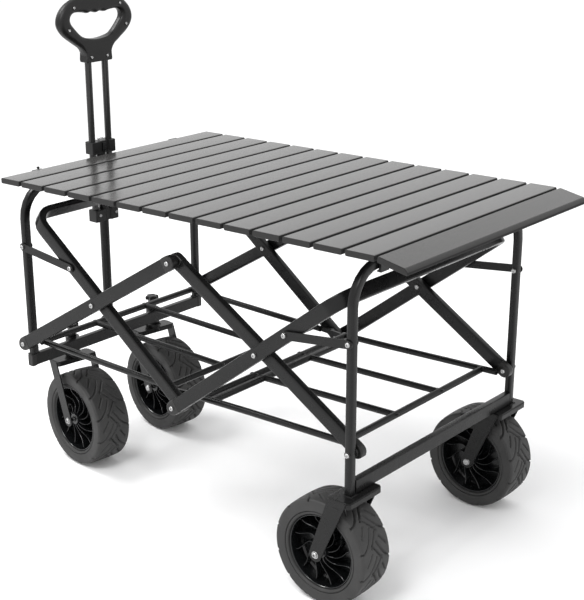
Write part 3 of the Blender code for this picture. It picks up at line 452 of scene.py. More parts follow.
def rim_mesh():
    """Two-sided dish: lips, barrel, web and hub, with swirled ribs on both sides."""
    lip_y = WHEEL_HALF - LIP_INSET
    half = [(RIM_SEAT - 0.0002, lip_y - 0.0020), (RIM_SEAT - 0.0008, lip_y - 0.0004), (0.0665, lip_y),
            (0.0656, lip_y - 0.0004), (0.0648, lip_y - 0.0016), (0.0642, 0.0220), (BARREL_RADIUS, 0.0080),
            (0.0600, 0.0050), (0.0200, 0.0040), (HUB_RADIUS + 0.0010, 0.0060), (HUB_RADIUS, 0.0100),
            (HUB_RADIUS - 0.0005, 0.0300), (HUB_RADIUS - 0.0020, 0.0325), (0.0060, 0.0325),
            (0.0046, 0.0310)]
    profile = half + [(r, -y) for r, y in reversed(half)]
    parts = [turned(profile, 96, closed=True)]
    first = RIM_PHASE / RIB_COUNT
    for side in (-1, 1):
        for k in range(RIB_COUNT):
            rings = []
            for t in np.linspace(0, 1, 15):
                radius = HUB_RADIUS - 0.0010 + (BARREL_RADIUS + 0.0008 - HUB_RADIUS) * t
                sway = t - sin(tau * t) / (RIB_EASE * tau)
                angle = (k / RIB_COUNT + first) * tau - side * RIB_SWIRL * sway
                out = Vector((cos(angle), 0, sin(angle)))
                along = Vector((-sin(angle), 0, cos(angle)))
                top = RIB_TOP - RIB_HOLLOW * sin(pi * t) ** 2 - RIB_FALL * t
                edge = top - RIB_ROUND
                section = ((-1, RIB_FOOT), (-1, edge), (-0.4, top), (0.4, top), (1, edge), (1, RIB_FOOT))
                rings.append([out * radius + along * (u * RIB_HALF) + Vector((0, side * v, 0))
                              for u, v in section])
            parts.append(loft(rings))
    return merged(parts)


# ---- bolts, rivets and screws
def socket_head(radius, height, socket, depth):
    """Domed head with a hexagon socket, standing up from y = 0."""
    dome = ((radius, 0.0), (radius, height * 0.45), (radius * 0.93, height * 0.75),
            (radius * 0.78, height), (socket * 1.18, height))
    rings = [spun(reach, y) for reach, y in dome]
    rings += [spun(socket, height - 0.0003, hexagon=True),
              spun(socket * 0.96, height - depth, hexagon=True)]
    return loft(rings)


def hex_nut(radius, height):
    """Lock nut with a round collar, standing up from y = 0."""
    levels = ((1.0, 0.0, True), (1.0, 0.62, True), (0.86, 0.74, False), (0.80, 0.96, False),
              (0.62, 1.0, False))
    return loft([spun(radius * scale, height * share, hexagon) for scale, share, hexagon in levels])


def washer_mesh(radius, height):
    """Flat washer with a round edge, standing up from y = 0."""
    return turned([(radius, 0), (radius, height * 0.6), (radius - height * 0.4, height)])


RIVET_RADIUS, RIVET_HEIGHT = 0.0046, 0.0024
WASHER_RADIUS, WASHER_HEIGHT = 0.0064, 0.0008
LINK_END = 0.0075  # radius of a link's round ends


def make_rivets():
    """Bright rivet heads on dark washers at every pivot, on both faces of the near and far sides."""
    head = socket_head(RIVET_RADIUS, RIVET_HEIGHT, socket=0.0018, depth=0.0011)
    head = mesh_data("rivet_head", head, ZINC)
    ring = mesh_data("rivet_washer", washer_mesh(WASHER_RADIUS, WASHER_HEIGHT), CAP_PLASTIC)
    outer, inner = ARM_OUTER_FACE, ARM_INNER_FACE
    front_leg, rear_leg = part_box("front_arch")[1].y - LEG_DEPTH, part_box("rear_arch")[1].y
    front_link, rear_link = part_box("front_link_far")[1].y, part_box("rear_link_far")[1].y
    spots = (("foot", FOOT, "front_arms", outer, front_leg),
             ("front_cross", FRONT_CROSS, "front_arms", outer, inner),
             ("peak", PEAK, "front_arms", outer, inner),
             ("base", BASE, "rear_u", outer, inner),
             ("rear_cross", REAR_CROSS, "rear_u", outer, inner),
             ("rear_foot", REAR_FOOT, "rear_frame", rear_leg, inner),
             ("front_leg_link", FRONT_LEG_LINK, "front_links", front_link, front_leg),
             ("rear_leg_link", REAR_LEG_LINK, "rear_links", rear_link, rear_leg - LEG_DEPTH),
             ("front_link_end", link_end(-1), "front_links", front_link, None),
             ("rear_link_end", link_end(1), "rear_links", rear_link, None))
    for name, point, body, out_face, in_face in spots:
        for label, side in SIDES:
            faces = [("outer", out_face, side)]
            if in_face is not None:
                faces.append(("inner", in_face, -side))
            for which, face, heading in faces:
                title = "_".join((name, which, label))
                seat = Vector((point.x, side * face, point.z))
                place("washer_" + title, ring, body, seat, facing(heading))
                lift = Vector((0, heading * WASHER_HEIGHT, 0))
                place("rivet_" + title, head, body, seat + lift, facing(heading))


def link_end(end):
    """Outer pivot of a link, where it meets its U-frame."""
    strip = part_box("front_link_far" if end < 0 else "rear_link_far")
    x = strip[1].x - LINK_END if end < 0 else strip[0].x + LINK_END
    z = BASE.z + abs(x - BASE.x) * tan(U_SLOPE)
    return Vector((x, 0, z))


# ---- end caps
CAP_CORNER, CAP_BACK, CAP_NOSE = 0.0034, 0.0125, 0.0140
CAP_GROWTH = 0.0010  # how much wider a cap is than its tube
NOSE_STEPS, NOSE_SWEEP = 10, radians(86)


def cap_mesh(width, thickness, back, radius):
    """Cap on a tube's end: it runs back along -X from the pivot and ends in a half-round nose."""
    rings = []
    for x, grow in ((-back, -0.0004), (-back + 0.0006, 0.0), (0.0, 0.0)):
        outline = rounded_rectangle(width + 2 * grow, thickness + 2 * grow, CAP_CORNER)
        rings.append([(x, v, u) for u, v in outline])
    for k in range(1, NOSE_STEPS + 1):
        angle = k / NOSE_STEPS * NOSE_SWEEP
        narrow = width * cos(angle)
        corner = min(CAP_CORNER, 0.45 * narrow)
        thin = thickness - 0.0016 * (k / NOSE_STEPS) ** 4
        rings.append([(radius * sin(angle), v, u) for u, v in rounded_rectangle(narrow, thin, corner)])
    return loft(rings)


def make_arm_caps():
    """Black plugs on the ends of the long arms and of the U-frames' legs."""
    cap = cap_mesh(ARM_WIDTH + CAP_GROWTH, ARM_THICKNESS + CAP_GROWTH, CAP_BACK, CAP_NOSE)
    data = mesh_data("arm_cap", cap, CAP_PLASTIC)
    outer = ARM_OUTER_FACE - ARM_THICKNESS / 2
    inner = ARM_INNER_FACE + ARM_THICKNESS / 2
    rise, fall = ARM_ANGLE, U_SLOPE
    ends = (("front_arm_foot", FOOT, "front_arms", outer, pi + rise),
            ("front_arm_peak", PEAK, "front_arms", outer, rise),
            ("rear_arm_foot", REAR_FOOT, "rear_arms", inner, -rise),
            ("rear_arm_peak", PEAK, "rear_arms", inner, pi - rise),
            ("front_u_base", BASE, "front_u", inner, -fall),
            ("rear_u_base", BASE, "rear_u", outer, pi + fall))
    for name, point, body, y, angle in ends:
        for label, side in SIDES:
            turn = Matrix.Rotation(-angle, 3, "Y")
            place("cap_%s_%s" % (name, label), data, body, (point.x, side * y, point.z), turn)


# ---- slats
SLAT_THICKNESS, END_SLAT_WIDTH, SLAT_CORNER = 0.0105, 0.0580, 0.0026
CORD_RADIUS, CORD_Y = 0.0018, 0.217
CORD_TAIL = 0.022  # past the middle of the last slat but one


def slat_frame(name):
    """Centre of a slat's near end face, its tilt about Y and its width along its own face."""
    points = np.array([v.co for v in frame["nodes"][name].data.vertices])
    near = points[points[:, 1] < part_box(name)[0].y + 0.0001]
    spread = near[:, (0, 2)] - near[:, (0, 2)].mean(axis=0)
    axis = np.linalg.svd(spread, full_matrices=False)[2][0]
    axis *= copysign(1.0, axis[0])
    along = spread @ axis
    return Vector(near.mean(axis=0)), atan2(-axis[1], axis[0]), along.max() - along.min()


def end_slat_section(shrink=0.0):
    """Section of the last slat about its centre: its outer long edge is bevelled."""
    half, top = END_SLAT_WIDTH / 2, SLAT_THICKNESS / 2
    points = [(-half, top - 0.0020), (-half + 0.0006, top - 0.0006), (-half + 0.0020, top),
              (half - 0.0090, top), (half - 0.0074, top - 0.0005), (half - 0.0014, top - 0.0050),
              (half - 0.0002, top - 0.0064), (half, top - 0.0080), (half - 0.0007, -top + 0.0007),
              (half - 0.0022, -top), (-half + 0.0022, -top), (-half + 0.0007, -top + 0.0007),
              (-half, -top + 0.0022)]
    return [(u * (1 - shrink / half), v * (1 - shrink / top)) for u, v in points]


def make_end_slat():
    """Last slat, which hangs down a little and has a bevelled edge."""
    name = SLATS[-1]
    centre, tilt, _ = slat_frame(name)
    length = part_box(name)[1].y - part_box(name)[0].y
    rings = [[(u, y, v) for u, v in end_slat_section()] for y in (0.0004, length - 0.0004)]
    turn = Matrix.Rotation(tilt, 3, "Y")
    add("end_slat_bevelled", moved(loft(rings), centre, turn), SLAT, "end_slat", [name])


def make_slat_caps():
    """Plugs that close both ends of each slat, with a thin rim on the end face."""
    for name in SLATS:
        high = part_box(name)[1]
        last = name == SLATS[-1]
        centre, tilt, width = slat_frame(name)
        rings = []
        for y, inset in ((-0.0010, 0.0010), (-0.0008, 0.0004), (-0.0002, 0.0001), (0.0000, 0.0001),
                         (0.0000, 0.0016), (0.0060, 0.0016)):
            if last:
                outline = end_slat_section(min(inset, 0.0010))
            else:
                outline = rounded_rectangle(width - 2 * inset, SLAT_THICKNESS - 2 * inset,
                                            max(SLAT_CORNER - inset, 0.0006))
            rings.append([(u, y, v) for u, v in outline])
        turn = Matrix.Rotation(tilt, 3, "Y")
        for label, side in SIDES:
            plug = loft([[(u, -side * y, v) for u, y, v in ring] for ring in rings])
            plug = moved(plug, (centre.x, side * high.y, centre.z), turn)
            add("cap_%s_%s" % (name, label), plug, CAP_PLASTIC, "end_slat" if last else "table")


def make_slat_cords():
    """Elastic cords that string the slats together, seen in the gaps between them."""
    for label, side in SIDES:
        rings = []
        for point in (middle(SLATS[0]), middle(SLATS[-2]) + Vector((CORD_TAIL, 0, 0))):
            rings.append([(point.x, side * CORD_Y + CORD_RADIUS * cos(angle),
                           point.z + CORD_RADIUS * sin(angle))
                          for angle in np.linspace(0, tau, 13)[:-1]])
        add("slat_cord_" + label, loft(rings), CORD, "table")
    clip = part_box("front_clip_near")
    at = (clip[0].x + 0.0020, clip[1].y - 0.0080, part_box(SLATS[0])[1].z - 0.0006)
    knot = bead(at, 0.0028, (1.0, 1.15, 0.9))
    add("cord_knot", knot, CORD, "table")


# ---- forks
SHEET, FORK_HALF, PLATE_CORNER = 0.0026, 0.0460, 0.0070
ARM_BORDER, ARM_SLOPE, ARM_RAISED = 0.0040, 0.0012, 0.0016  # flat border and raised panel of the arms
ARM_INSET_LEFT, ARM_INSET_RIGHT = 0.0045, 0.0058  # from the plate's edges to the arms'
FRONT_LEFT, FRONT_RIGHT, FRONT_BOSS, FRONT_LIP = -0.0200, 0.0150, 0.0120, 0.0100
REAR_LENGTH, REAR_BOSS, REAR_LIP = 0.0480, 0.0124, 0.0115
LIP_TOP, ARM_TOP = 0.0016, 0.0012  # below the plate's top
BAR_X, BAR_Z, BAR_HALF, BAR_ROUND = (0.0140, 0.0270), (0.0165, 0.0140), 0.0006, 0.0005
SHAFT_RADIUS = 0.0040
AXLE_SEAT = 0.0012  # the washers' backs, beyond the flat border of the arms
END_SEAT = 0.0003  # the bolt's head and nut, beyond the washers' backs


def arm_outline(left, right, top, axle_x, axle_z, radius):
    """Side plate: straight edges from its top to the round boss about the axle, as (x, z)."""
    centre = Vector((axle_x, axle_z))
    angles = []
    for corner, sign in ((left, 1), (right, -1)):
        away = Vector((corner, top)) - centre
        angles.append(atan2(away.y, away.x) + sign * acos(radius / away.length))
    boss = [(axle_x + radius * cos(angle), axle_z + radius * sin(angle))
            for angle in np.linspace(angles[0], angles[1] + tau, 21)]
    return [(right, top), (left, top)] + boss


def pressed_plate(outline, thickness, border, slope, raised):
    """Sheet in the XZ plane whose inside, past a border, is pressed out by raised. Outer face at y = 0."""
    mesh = bmesh.new()
    face = mesh.faces.new([mesh.verts.new((x, 0, z)) for x, z in outline])
    mesh.normal_update()
    if face.normal.y < 0:
        face.normal_flip()
    bmesh.ops.inset_region(mesh, faces=[face], thickness=border, depth=0.0, use_even_offset=True)
    bmesh.ops.inset_region(mesh, faces=[face], thickness=slope, depth=raised, use_even_offset=True)
    rim = [edge for edge in mesh.edges if edge.is_boundary]
    back = bmesh.ops.extrude_edge_only(mesh, edges=rim)
    fresh = [v for v in back["geom"] if isinstance(v, bmesh.types.BMVert)]
    bmesh.ops.translate(mesh, vec=(0, -thickness, 0), verts=fresh)
    bmesh.ops.contextual_create(mesh, geom=[e for e in mesh.edges if e.is_boundary])
    bmesh.ops.recalc_face_normals(mesh, faces=mesh.faces)
    return mesh


def soft_box(low, high, radius):
    """Box with its edges rounded."""
    mesh = bmesh.new()
    bmesh.ops.create_cube(mesh, size=1.0)
    low, high = Vector(low), Vector(high)
    bmesh.ops.scale(mesh, vec=high - low, verts=mesh.verts)
    bmesh.ops.translate(mesh, vec=(low + high) / 2, verts=mesh.verts)
    bmesh.ops.bevel(mesh, geom=mesh.edges, offset=radius, segments=2, profile=0.5, affect="EDGES")
    return mesh


def top_plate(low, high, z):
    """Flat sheet below z with round corners in plan and softened edges; low and high are (x, y)."""
    rings = []
    length, width = high[0] - low[0], high[1] - low[1]
    x, y = (low[0] + high[0]) / 2, (low[1] + high[1]) / 2
    for drop, inset in ((0.0, 0.0022), (0.0002, 0.0012), (0.0007, 0.0004), (0.0016, 0.0), (SHEET, 0.0)):
        outline = rounded_rectangle(length - 2 * inset, width - 2 * inset, PLATE_CORNER - inset, 6)
        rings.append([(x + u, y + v, z - drop) for u, v in outline])
    return loft(rings)


def lip_mesh(right, low_y, high_y, top, bottom):
    """Folded edge of a plate: it hangs down along the right side and round both corners."""
    rings = []
    for z, inset in ((top, 0.0), (bottom + 0.0005, 0.0), (bottom, 0.0004)):
        outline = []
        for reach, heading in ((PLATE_CORNER - inset, 1), (PLATE_CORNER - SHEET + inset, -1)):
            arc = []
            for y, start in ((low_y + PLATE_CORNER, -90), (high_y - PLATE_CORNER, 0)):
                for step in range(7):
                    angle = radians(start + step * 15)
                    x = right - PLATE_CORNER + reach * cos(angle)
                    arc.append((x, y + reach * sin(angle), z))
            outline += arc[::heading]
        rings.append(outline)
    return loft(rings)


def fork_meshes(left, right, top_z, axle, y, boss, lip, low_y, high_y):
    """Pressed fork about a straight-ahead wheel: plate, folded rear edge and two embossed arms."""
    parts = [top_plate((left, low_y), (right, high_y), top_z),
             lip_mesh(right, low_y, high_y, top_z - LIP_TOP, top_z - lip)]
    outline = arm_outline(left + ARM_INSET_LEFT, right - ARM_INSET_RIGHT, top_z - ARM_TOP, axle.x,
                          axle.z, boss)
    for heading in (-1, 1):
        sheet = pressed_plate(outline, SHEET, ARM_BORDER, ARM_SLOPE, ARM_RAISED)
        if heading < 0:
            bmesh.ops.scale(sheet, vec=(1, -1, 1), verts=sheet.verts)
            bmesh.ops.reverse_faces(sheet, faces=sheet.faces)
        parts.append(moved(sheet, (0, y + heading * FORK_HALF, 0)))
    return parts


def make_rear_forks():
    """Pressed fork at the foot of each rear leg, with a short raised bar high up on each arm."""
    for label, _ in SIDES:
        low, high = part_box("rear_fork_" + label)
        y = (low.y + high.y) / 2
        axle = middle("tyre_rear_" + label)
        left = high.x - REAR_LENGTH
        parts = fork_meshes(left, high.x, high.z, axle, y, REAR_BOSS, REAR_LIP, low.y, high.y)
        for heading in (-1, 1):
            bar_y = y + heading * (FORK_HALF + ARM_RAISED)
            parts.append(soft_box((left + BAR_X[0], bar_y - BAR_HALF, high.z - BAR_Z[0]),
                                  (left + BAR_X[1], bar_y + BAR_HALF, high.z - BAR_Z[1]), BAR_ROUND))
        add("rear_fork_pressed_" + label, merged(parts), PAINT, "rear_frame", ["rear_fork_" + label], 30)


def make_casters():
    """Swivel forks with their ball race and threaded stem, and the star nut above each socket."""
    for label, _ in SIDES:
        stem = pivot("caster_swivel_" + label)
        axis = Vector(JOINT["front_wheel_spin_" + label]["axis"])
        turn = Matrix.Rotation(atan2(-axis.x, axis.y), 3, "Z")
        axle = turn.inverted() @ (middle("tyre_front_" + label) - stem)
        parts = fork_meshes(FRONT_LEFT, FRONT_RIGHT, 0.0, axle, 0.0, FRONT_BOSS, FRONT_LIP,
                            -FORK_HALF, FORK_HALF)
        race = [(0.0150, -0.0085), (0.0168, -0.0060), (0.0168, -0.0040), (0.0150, -0.0010),
                (0.0150, 0.0020), (0.0172, 0.0040), (0.0172, 0.0080), (0.0150, 0.0105), (0.0135, 0.0120),
                (0.0135, 0.0190)]
        parts.append(moved(turned(race, 40), turn=UPRIGHT))
        shank = [(0.0084, 0.0), (0.0084, 0.0520), (0.0049, 0.0525), (0.0049, 0.0640), (0.0002, 0.06496)]
        parts.append(moved(turned(shank), turn=UPRIGHT))
        fork = moved(merged(parts), stem, turn)
        add("caster_fork_pressed_" + label, fork, PAINT, "caster_" + label, ["caster_fork_" + label], 30)
        low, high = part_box("caster_nut_" + label)
        add("star_nut_" + label, moved(star_nut(high.z - low.z), (stem.x, stem.y, low.z)), CAP_PLASTIC,
            "caster_" + label, ["caster_nut_" + label], 30)


def star_nut(height):
    """Hand nut on a round skirt, with six finger lobes, standing up from z = 0."""
    steps = 72
    skirt = height - 0.0095
    levels = ((0.0086, 0.0, 0.0), (0.0086, 0.0, skirt), (0.0118, 0.0018, skirt + 0.0006),
              (0.0122, 0.0022, skirt + 0.0016), (0.0122, 0.0022, height - 0.0030),
              (0.0116, 0.0020, height - 0.0014), (0.0098, 0.0012, height - 0.0004),
              (0.0070, 0.0, height - 0.0003), (0.0066, 0.0, height - 0.0012))
    rings = []
    for radius, lobe, z in levels:
        ring = []
        for k in range(steps):
            angle = k / steps * tau
            wave = 1 - 2 * abs(sin(3 * angle)) ** 1.6
            reach = radius + lobe * wave
            ring.append((reach * cos(angle), reach * sin(angle), z))
        rings.append(ring)
    return loft(rings)


def make_wheels():
    """Tyres, rims and axle bolts."""
    tyre = mesh_data("grooved_tyre", tyre_mesh(), TYRE, 50)
    rim = mesh_data("ribbed_rim", rim_mesh(), RIM, 30)
    head = mesh_data("axle_head", socket_head(0.0052, 0.0033, socket=0.0026, depth=0.0020), ZINC)
    nut = mesh_data("axle_nut", hex_nut(0.0068, 0.0033), ZINC)
    ring = mesh_data("axle_washer", washer_mesh(0.0068, 0.0010), ZINC)
    for end in ("front", "rear"):
        axis = Vector(JOINT[end + "_wheel_spin_near"]["axis"])
        spin = Matrix.Rotation(atan2(-axis.x, axis.y), 3, "Z")
        end_tyre, end_rim = tyre.copy(), rim.copy()
        end_tyre.transform(spin.to_4x4())
        end_rim.transform(spin.to_4x4())
        for label, side in SIDES:
            tag = "%s_%s" % (end, label)
            wheel = "wheel_" + tag
            centre = middle("tyre_" + tag)
            carrier = "rear_frame" if end == "rear" else "caster_" + label
            place("tyre_grooved_" + tag, end_tyre, wheel, centre, replaces=["tyre_" + tag])
            place("rim_ribbed_" + tag, end_rim, wheel, centre, replaces=["rim_" + tag])
            shaft = turned([(SHAFT_RADIUS, -FORK_HALF), (SHAFT_RADIUS, FORK_HALF)], 24)
            axle = moved(shaft, centre, spin)
            add("axle_shaft_" + tag, axle, ZINC, carrier, ["axle_bolt_" + tag])
            for heading in (-1, 1):
                title = "%s_%s" % (tag, "outer" if heading == side else "inner")
                outward = spin @ Vector((0, heading, 0))
                seat = centre + outward * (FORK_HALF + AXLE_SEAT)
                item = head if heading == side else nut
                place("axle_washer_" + title, ring, carrier, seat, spin @ facing(heading))
                place("axle_end_" + title, item, carrier, seat + outward * END_SEAT, spin @ facing(heading))


# ---- pull handle
def closed_curve(control, samples=8):
    """Smooth closed curve through control points, with samples points per stretch."""
    points = []
    for k in range(len(control)):
        before, start, stop, after = (Vector(control[(k + j) % len(control)]) for j in (-1, 0, 1, 2))
        points += interpolate_bezier(start, start + (stop - before) / 6, stop - (after - start) / 6,
                                     stop, samples + 1)[:-1]
    return points


# Half outlines from the bottom middle to the top middle, as (y, height above the grip's foot).
GRIP_OUTER = ((0.0, 0.0), (0.026, 0.0), (0.0332, 0.0016), (0.0322, 0.0140), (0.0420, 0.0275),
              (0.059, 0.0390), (0.082, 0.0555), (0.0940, 0.0725), (0.0940, 0.0890), (0.0840, 0.1055),
              (0.0650, 0.1190), (0.0350, 0.1283), (0.0, 0.1295))
GRIP_EYE = ((0.0, 0.0440), (0.013, 0.0448), (0.025, 0.0468), (0.0345, 0.0500), (0.0425, 0.0550),
            (0.0500, 0.0620), (0.0580, 0.0705), (0.0650, 0.0790), (0.0665, 0.0870), (0.0620, 0.0945),
            (0.0510, 0.0978), (0.0270, 0.0962), (0.0, 0.0962))
GRIP_SCREWS = ((0.0595, 0.1080), (0.0740, 0.0668), (0.0205, 0.0100))
GRIP_HALF_DEPTH = 0.0108
PARTING_HALF, PARTING_DEPTH = 0.0007, 0.0006
EASE_FROM, EASE_OVER = 0.001, 0.020  # heights over which the foot's tight corners grow
BUMP_PITCH, BUMP_DEPTH, BUMP_REACH, BUMP_FROM = 0.0230, 0.0024, 0.0400, 0.090


def mirrored(half):
    """Whole outline from its half, which starts and ends on the middle line."""
    return list(half) + [(-y, z) for y, z in reversed(half[1:-1])]


def grip_section(depth, ease):
    """Section of the grip as (outward from the eye, across): four round corners, with the parting
    line between the outer two. The corners grow with ease, from the flat foot up to the loop.
    """
    outer, inner = 0.0022 + 0.0072 * ease, 0.0040 + 0.0050 * ease
    corners = ((depth - outer, 1, outer, 90), (depth - outer, -1, outer, 0),
               (inner, -1, inner, 270), (inner, 1, inner, 180))
    arcs = []
    for u, side, radius, start in corners:
        arc = []
        for k in range(6):
            angle = radians(start - k / 5 * 90)
            arc.append((u + radius * cos(angle),
                        side * (GRIP_HALF_DEPTH - radius) + radius * sin(angle)))
        arcs.append(arc)
    parting = [(depth, PARTING_HALF), (depth - PARTING_DEPTH, 0.0), (depth, -PARTING_HALF)]
    return arcs[0] + parting + arcs[1] + arcs[2] + arcs[3]


def make_grip():
    """Loop grip in two moulded shells, with finger bumps, a parting line and its screws."""
    low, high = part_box("handle_grip")
    foot = Vector(((low.x + high.x) / 2, 0, low.z + 0.0003))
    outer = closed_curve(mirrored(GRIP_OUTER))
    eye = closed_curve(mirrored(GRIP_EYE))
    rings = []
    for out_point, eye_point in zip(outer, eye):
        y, z = eye_point
        if z > BUMP_FROM and abs(y) < BUMP_REACH:
            fade = cos(y / BUMP_REACH * pi / 2) ** 0.5
            z -= BUMP_DEPTH * (0.5 + 0.5 * cos(tau * y / BUMP_PITCH)) * fade
        eye_point = Vector((y, z))
        depth = (out_point - eye_point).length
        outward = (out_point - eye_point) / depth
        ease = min(max((out_point.y - EASE_FROM) / EASE_OVER, 0.0), 1.0)
        ring = []
        for u, v in grip_section(depth, ease):
            point = eye_point + outward * u
            ring.append((foot.x + v, point.x, foot.z + point.y))
        rings.append(ring)
    add("grip_moulded", loft(rings, closed=True), GRIP_RUBBER, "handle_slide", ["handle_grip"], 40)

    screw = mesh_data("grip_screw", socket_head(0.0027, 0.0012, socket=0.0011, depth=0.0007), ZINC)
    ridge = [(0.0044, 0), (0.0044, 0.00025), (0.0034, 0.0005), (0.0030, 0.00015)]
    well = mesh_data("grip_screw_well", turned(ridge, 28), PLASTIC)
    for k, (y, z) in enumerate(GRIP_SCREWS):
        for label, side in SIDES:
            seat = (foot.x + GRIP_HALF_DEPTH, side * y, foot.z + z)
            place("grip_well_%d_%s" % (k + 1, label), well, "handle_slide", seat, TO_REAR)
            place("grip_screw_%d_%s" % (k + 1, label), screw, "handle_slide", seat, TO_REAR)


BRACKET_CORNER, BRACKET_RECESS = 0.0030, 0.0030
BOLT_PLACES, BOLT_SHARE = (-0.0200, 0.0235), 0.55  # along y, and up the slider's height
# The latch post is flattened towards the collar's face, so that the pressed button clears it.
POST_HALF_DEPTH, POST_HALF_WIDTH, POST_RADIUS = 0.0022, 0.0037, 0.0056
POST_HEIGHT, POST_PROUD = 0.0190, 0.0006


def bracket_mesh(low, high):
    """Moulded block round both tubes, with crisp corners and a recess down the middle of its faces."""
    half_x, half_y = (high.x - low.x) / 2, (high.y - low.y) / 2
    centre_x = (low.x + high.x) / 2
    quarter = []
    for angle in np.linspace(0, pi / 2, 5):
        quarter.append((half_x - BRACKET_CORNER * (1 - sin(angle)),
                        half_y - BRACKET_CORNER * (1 - cos(angle))))
    quarter += [(half_x, 0.0125), (half_x - BRACKET_RECESS * 0.6, 0.0118),
                (half_x - BRACKET_RECESS, 0.0108)]
    side = quarter + [(u, -v) for u, v in reversed(quarter)]
    outline = side + [(-u, -v) for u, v in side]
    height = high.z - low.z
    rings = []
    for z, inset in ((0, 0.0012), (0.0004, 0.0004), (0.0012, 0.0), (height - 0.0012, 0.0),
                     (height - 0.0004, 0.0004), (height, 0.0012)):
        ring = []
        for u, v in outline:
            pulled = copysign(min(inset, abs(v) * 0.5), v)
            ring.append((centre_x + u - copysign(inset, u), v - pulled, low.z + z))
        rings.append(ring)
    return loft(rings)


def make_handle_brackets():
    """Collar on the column with its latch post, and slider below it with its bolts."""
    bolt = mesh_data("bracket_bolt", socket_head(0.0032, 0.0016, socket=0.0013, depth=0.0009), ZINC)
    for node, body in (("handle_collar", "handle_base"), ("handle_slider", "handle_slide")):
        low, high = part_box(node)
        add(node + "_moulded", bracket_mesh(low, high), PLASTIC, body, [node], 30)
    for k, y in enumerate(BOLT_PLACES):
        seat = (high.x - 0.0002, y, low.z + (high.z - low.z) * BOLT_SHARE)
        place("slider_bolt_%d" % (k + 1), bolt, "handle_slide", seat, TO_REAR)
    low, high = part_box("handle_collar")
    post = [(0.0050, 0), (POST_RADIUS, 0.0008), (POST_RADIUS, POST_HEIGHT - 0.0010), (0.0050, POST_HEIGHT)]
    flat = Matrix.Diagonal((POST_HALF_DEPTH / POST_RADIUS, POST_HALF_WIDTH / POST_RADIUS, 1))
    seat = (high.x + POST_PROUD - POST_HALF_DEPTH, 0, low.z + 0.0030)
    post = moved(turned(post, 28), seat, flat @ UPRIGHT)
    add("latch_post", post, RIM, "handle_base")


# ---- welds and tube ends
BEAD_SIZE, BEAD_SHIFT, BEAD_LIFT = 0.0034, 0.0055, 0.0030  # shift and lift: from a crossing of rods
LONG_RODS_Y = (0.0700, 0.2105)  # the bed's long rods on each side
FRONT_RUNG, REAR_RUNGS = 0.0500, (0.0340, 0.0580, 0.3600)  # cross rods, from the bed's middle hinge
REAR_GRID_SLOPE = 0.0110 / 0.3920
PLUG_WIDTH, PLUG_HEIGHT, PLUG_CORNER = 0.0130, 0.0240, 0.0026
TUBE_MIDDLE_Z = BASE.z - 0.0111  # middle height of the front cross tube


def bead(at, radius, squash):
    """Small weld bead."""
    mesh = bmesh.new()
    bmesh.ops.create_icosphere(mesh, subdivisions=2, radius=radius)
    bmesh.ops.scale(mesh, vec=squash, verts=mesh.verts)
    return moved(mesh, at)


def weld_round(low, high, z):
    """Beads along the four sides of a rectangle at height z."""
    beads = []
    along_x, along_y = high[0] - low[0], high[1] - low[1]
    count_x, count_y = max(int(along_x / BEAD_SIZE), 1), int(along_y / BEAD_SIZE)
    for k in range(count_x + 1):
        x = low[0] + along_x * k / count_x
        beads += [bead((x, y, z), BEAD_SIZE * 0.62, (1, 0.75, 0.75)) for y in (low[1], high[1])]
    for k in range(1, count_y):
        y = low[1] + along_y * k / count_y
        beads += [bead((x, y, z), BEAD_SIZE * 0.62, (0.75, 1, 0.75)) for x in (low[0], high[0])]
    return beads


def make_welds():
    """Weld beads at the feet of both arches, on the rear forks and at the bed's crossings."""
    front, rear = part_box("front_arch"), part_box("rear_arch")
    legs = (("front", front[1], front[0].x, front[0].z),
            ("rear", rear[1], rear[1].x - LEG_WIDTH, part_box("rear_fork_near")[1].z))
    for label, side in SIDES:
        for end, high, low_x, foot_z in legs:
            leg_y = sorted((side * high.y, side * (high.y - LEG_DEPTH)))
            beads = weld_round((low_x, leg_y[0]), (high.x, leg_y[1]), foot_z)
            add("weld_%s_leg_%s" % (end, label), merged(beads), PAINT, end + "_frame")
    for node, body in (("bed_grid_front", "bed_front"), ("bed_grid_rear", "bed_rear")):
        beads = []
        for x, z in bed_crossings(node):
            for y in LONG_RODS_Y:
                for side in (-1, 1):
                    for shift in (-BEAD_SHIFT, BEAD_SHIFT):
                        at = (x + shift, side * y, z + BEAD_LIFT)
                        beads.append(bead(at, BEAD_SIZE, (0.9, 1.5, 0.7)))
        add("weld_" + node, merged(beads), PAINT, body)


def bed_crossings(node):
    """Middle of each cross rod of a bed grid, as (x, z)."""
    hinge, fold = pivot("bed_front_hinge"), pivot("bed_middle_hinge")
    if node == "bed_grid_front":
        slope = (hinge.z - fold.z) / (hinge.x - fold.x)
        return [(hinge.x, hinge.z), (fold.x - FRONT_RUNG, fold.z - FRONT_RUNG * slope)]
    return [(fold.x + x, fold.z + x * REAR_GRID_SLOPE) for x in REAR_RUNGS]


def make_tube_ends():
    """Plugs in both ends of the front cross tube."""
    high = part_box("front_cross_tube")[1]
    centre_x = middle("front_arch").x
    for label, side in SIDES:
        rings = []
        for y, inset in ((-0.0100, -0.0007), (-0.0014, -0.0007), (-0.0004, -0.0003), (0.0006, 0.0006)):
            outline = rounded_rectangle(PLUG_WIDTH - 2 * inset, PLUG_HEIGHT - 2 * inset, PLUG_CORNER)
            rings.append([(centre_x + u, side * (high.y + y), TUBE_MIDDLE_Z + v) for u, v in outline])
        add("cross_tube_plug_" + label, loft(rings), CAP_PLASTIC, "front_frame")


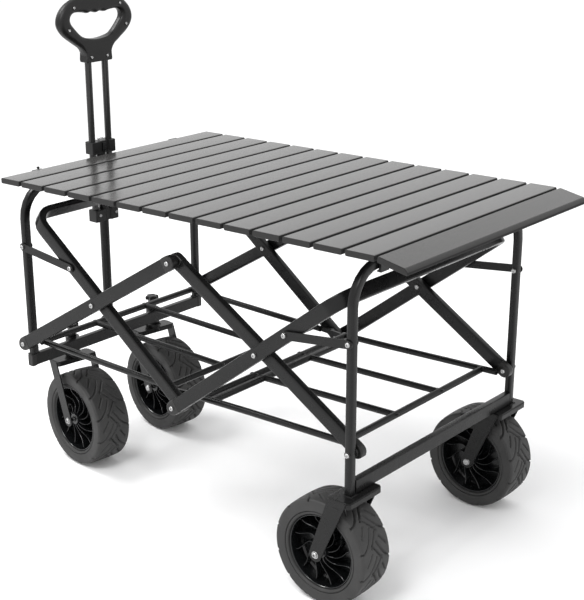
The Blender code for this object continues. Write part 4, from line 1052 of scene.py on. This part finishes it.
# ---- studio
CAMERA_AT = (1.6151, -1.8853, 1.2534)
CAMERA_TURN = (69.289, -1.050, 36.994)  # Euler angles in degrees
CAMERA_LENS, CAMERA_SHIFT = 83.0, (-0.1184, 0.0745)
SKY_STRENGTH, HORIZON, ZENITH = 1.22, (1.0, 1.0, 1.0), (0.80, 0.80, 0.81)
LIGHT_AIM = Vector((0, 0, 0.3))


def make_camera():
    """Camera at the viewing angle of the product view."""
    data = bpy.data.cameras.new("camera")
    data.lens = CAMERA_LENS
    data.sensor_width = 36.0
    data.shift_x, data.shift_y = CAMERA_SHIFT
    data.clip_start, data.clip_end = 0.05, 60.0
    camera = new_object("camera", data)
    camera.location = CAMERA_AT
    camera.rotation_euler = [radians(angle) for angle in CAMERA_TURN]
    bpy.context.scene.camera = camera


def make_floor():
    """Plain pale floor."""
    mesh = bmesh.new()
    bmesh.ops.create_grid(mesh, x_segments=1, y_segments=1, size=14.0)
    material, tree, shader = graph("studio_floor")
    tree.links.new(colours(tree, noise(tree, 2.0), grey(0.93), grey(0.95)), shader.inputs["Base Color"])
    shader.inputs["Roughness"].default_value = 0.9
    shader.inputs["Specular IOR Level"].default_value = 0.1
    data = mesh_data("studio_floor", mesh, material)
    floor = new_object("studio_floor", data)
    floor.location = (0, 0, -0.0004)


def area_light(name, at, size, power):
    """Soft square light that points at the wagon."""
    data = bpy.data.lights.new(name, "AREA")
    data.shape, data.size, data.energy = "SQUARE", size, power
    light = new_object(name, data)
    light.location = at
    light.rotation_euler = (LIGHT_AIM - Vector(at)).to_track_quat("-Z", "Y").to_euler()


def make_lights():
    """White studio: brighter towards the horizon, with two soft lights above."""
    world = bpy.data.worlds.new("studio")
    bpy.context.scene.world = world
    world.use_nodes = True
    tree = world.node_tree
    direction = tree.nodes.new("ShaderNodeTexCoord")
    split = tree.nodes.new("ShaderNodeSeparateXYZ")
    tree.links.new(direction.outputs["Generated"], split.inputs["Vector"])
    sky = colours(tree, split.outputs["Z"], HORIZON, ZENITH, 0.62, 0.95)
    tree.links.new(sky, tree.nodes["Background"].inputs["Color"])
    tree.nodes["Background"].inputs["Strength"].default_value = SKY_STRENGTH
    area_light("near_light", (0.4, -1.9, 2.9), size=1.0, power=42.0)
    area_light("left_light", (-1.7, -0.6, 2.5), size=0.8, power=36.0)
    bpy.context.scene.view_settings.view_transform = "Standard"


# ---- the whole wagon
make_camera()
make_floor()
make_lights()
finish_cad_nodes()
make_wheels()
make_rear_forks()
make_casters()
make_arm_caps()
make_rivets()
make_end_slat()
make_slat_caps()
make_slat_cords()
make_grip()
make_handle_brackets()
make_tube_ends()
make_welds()
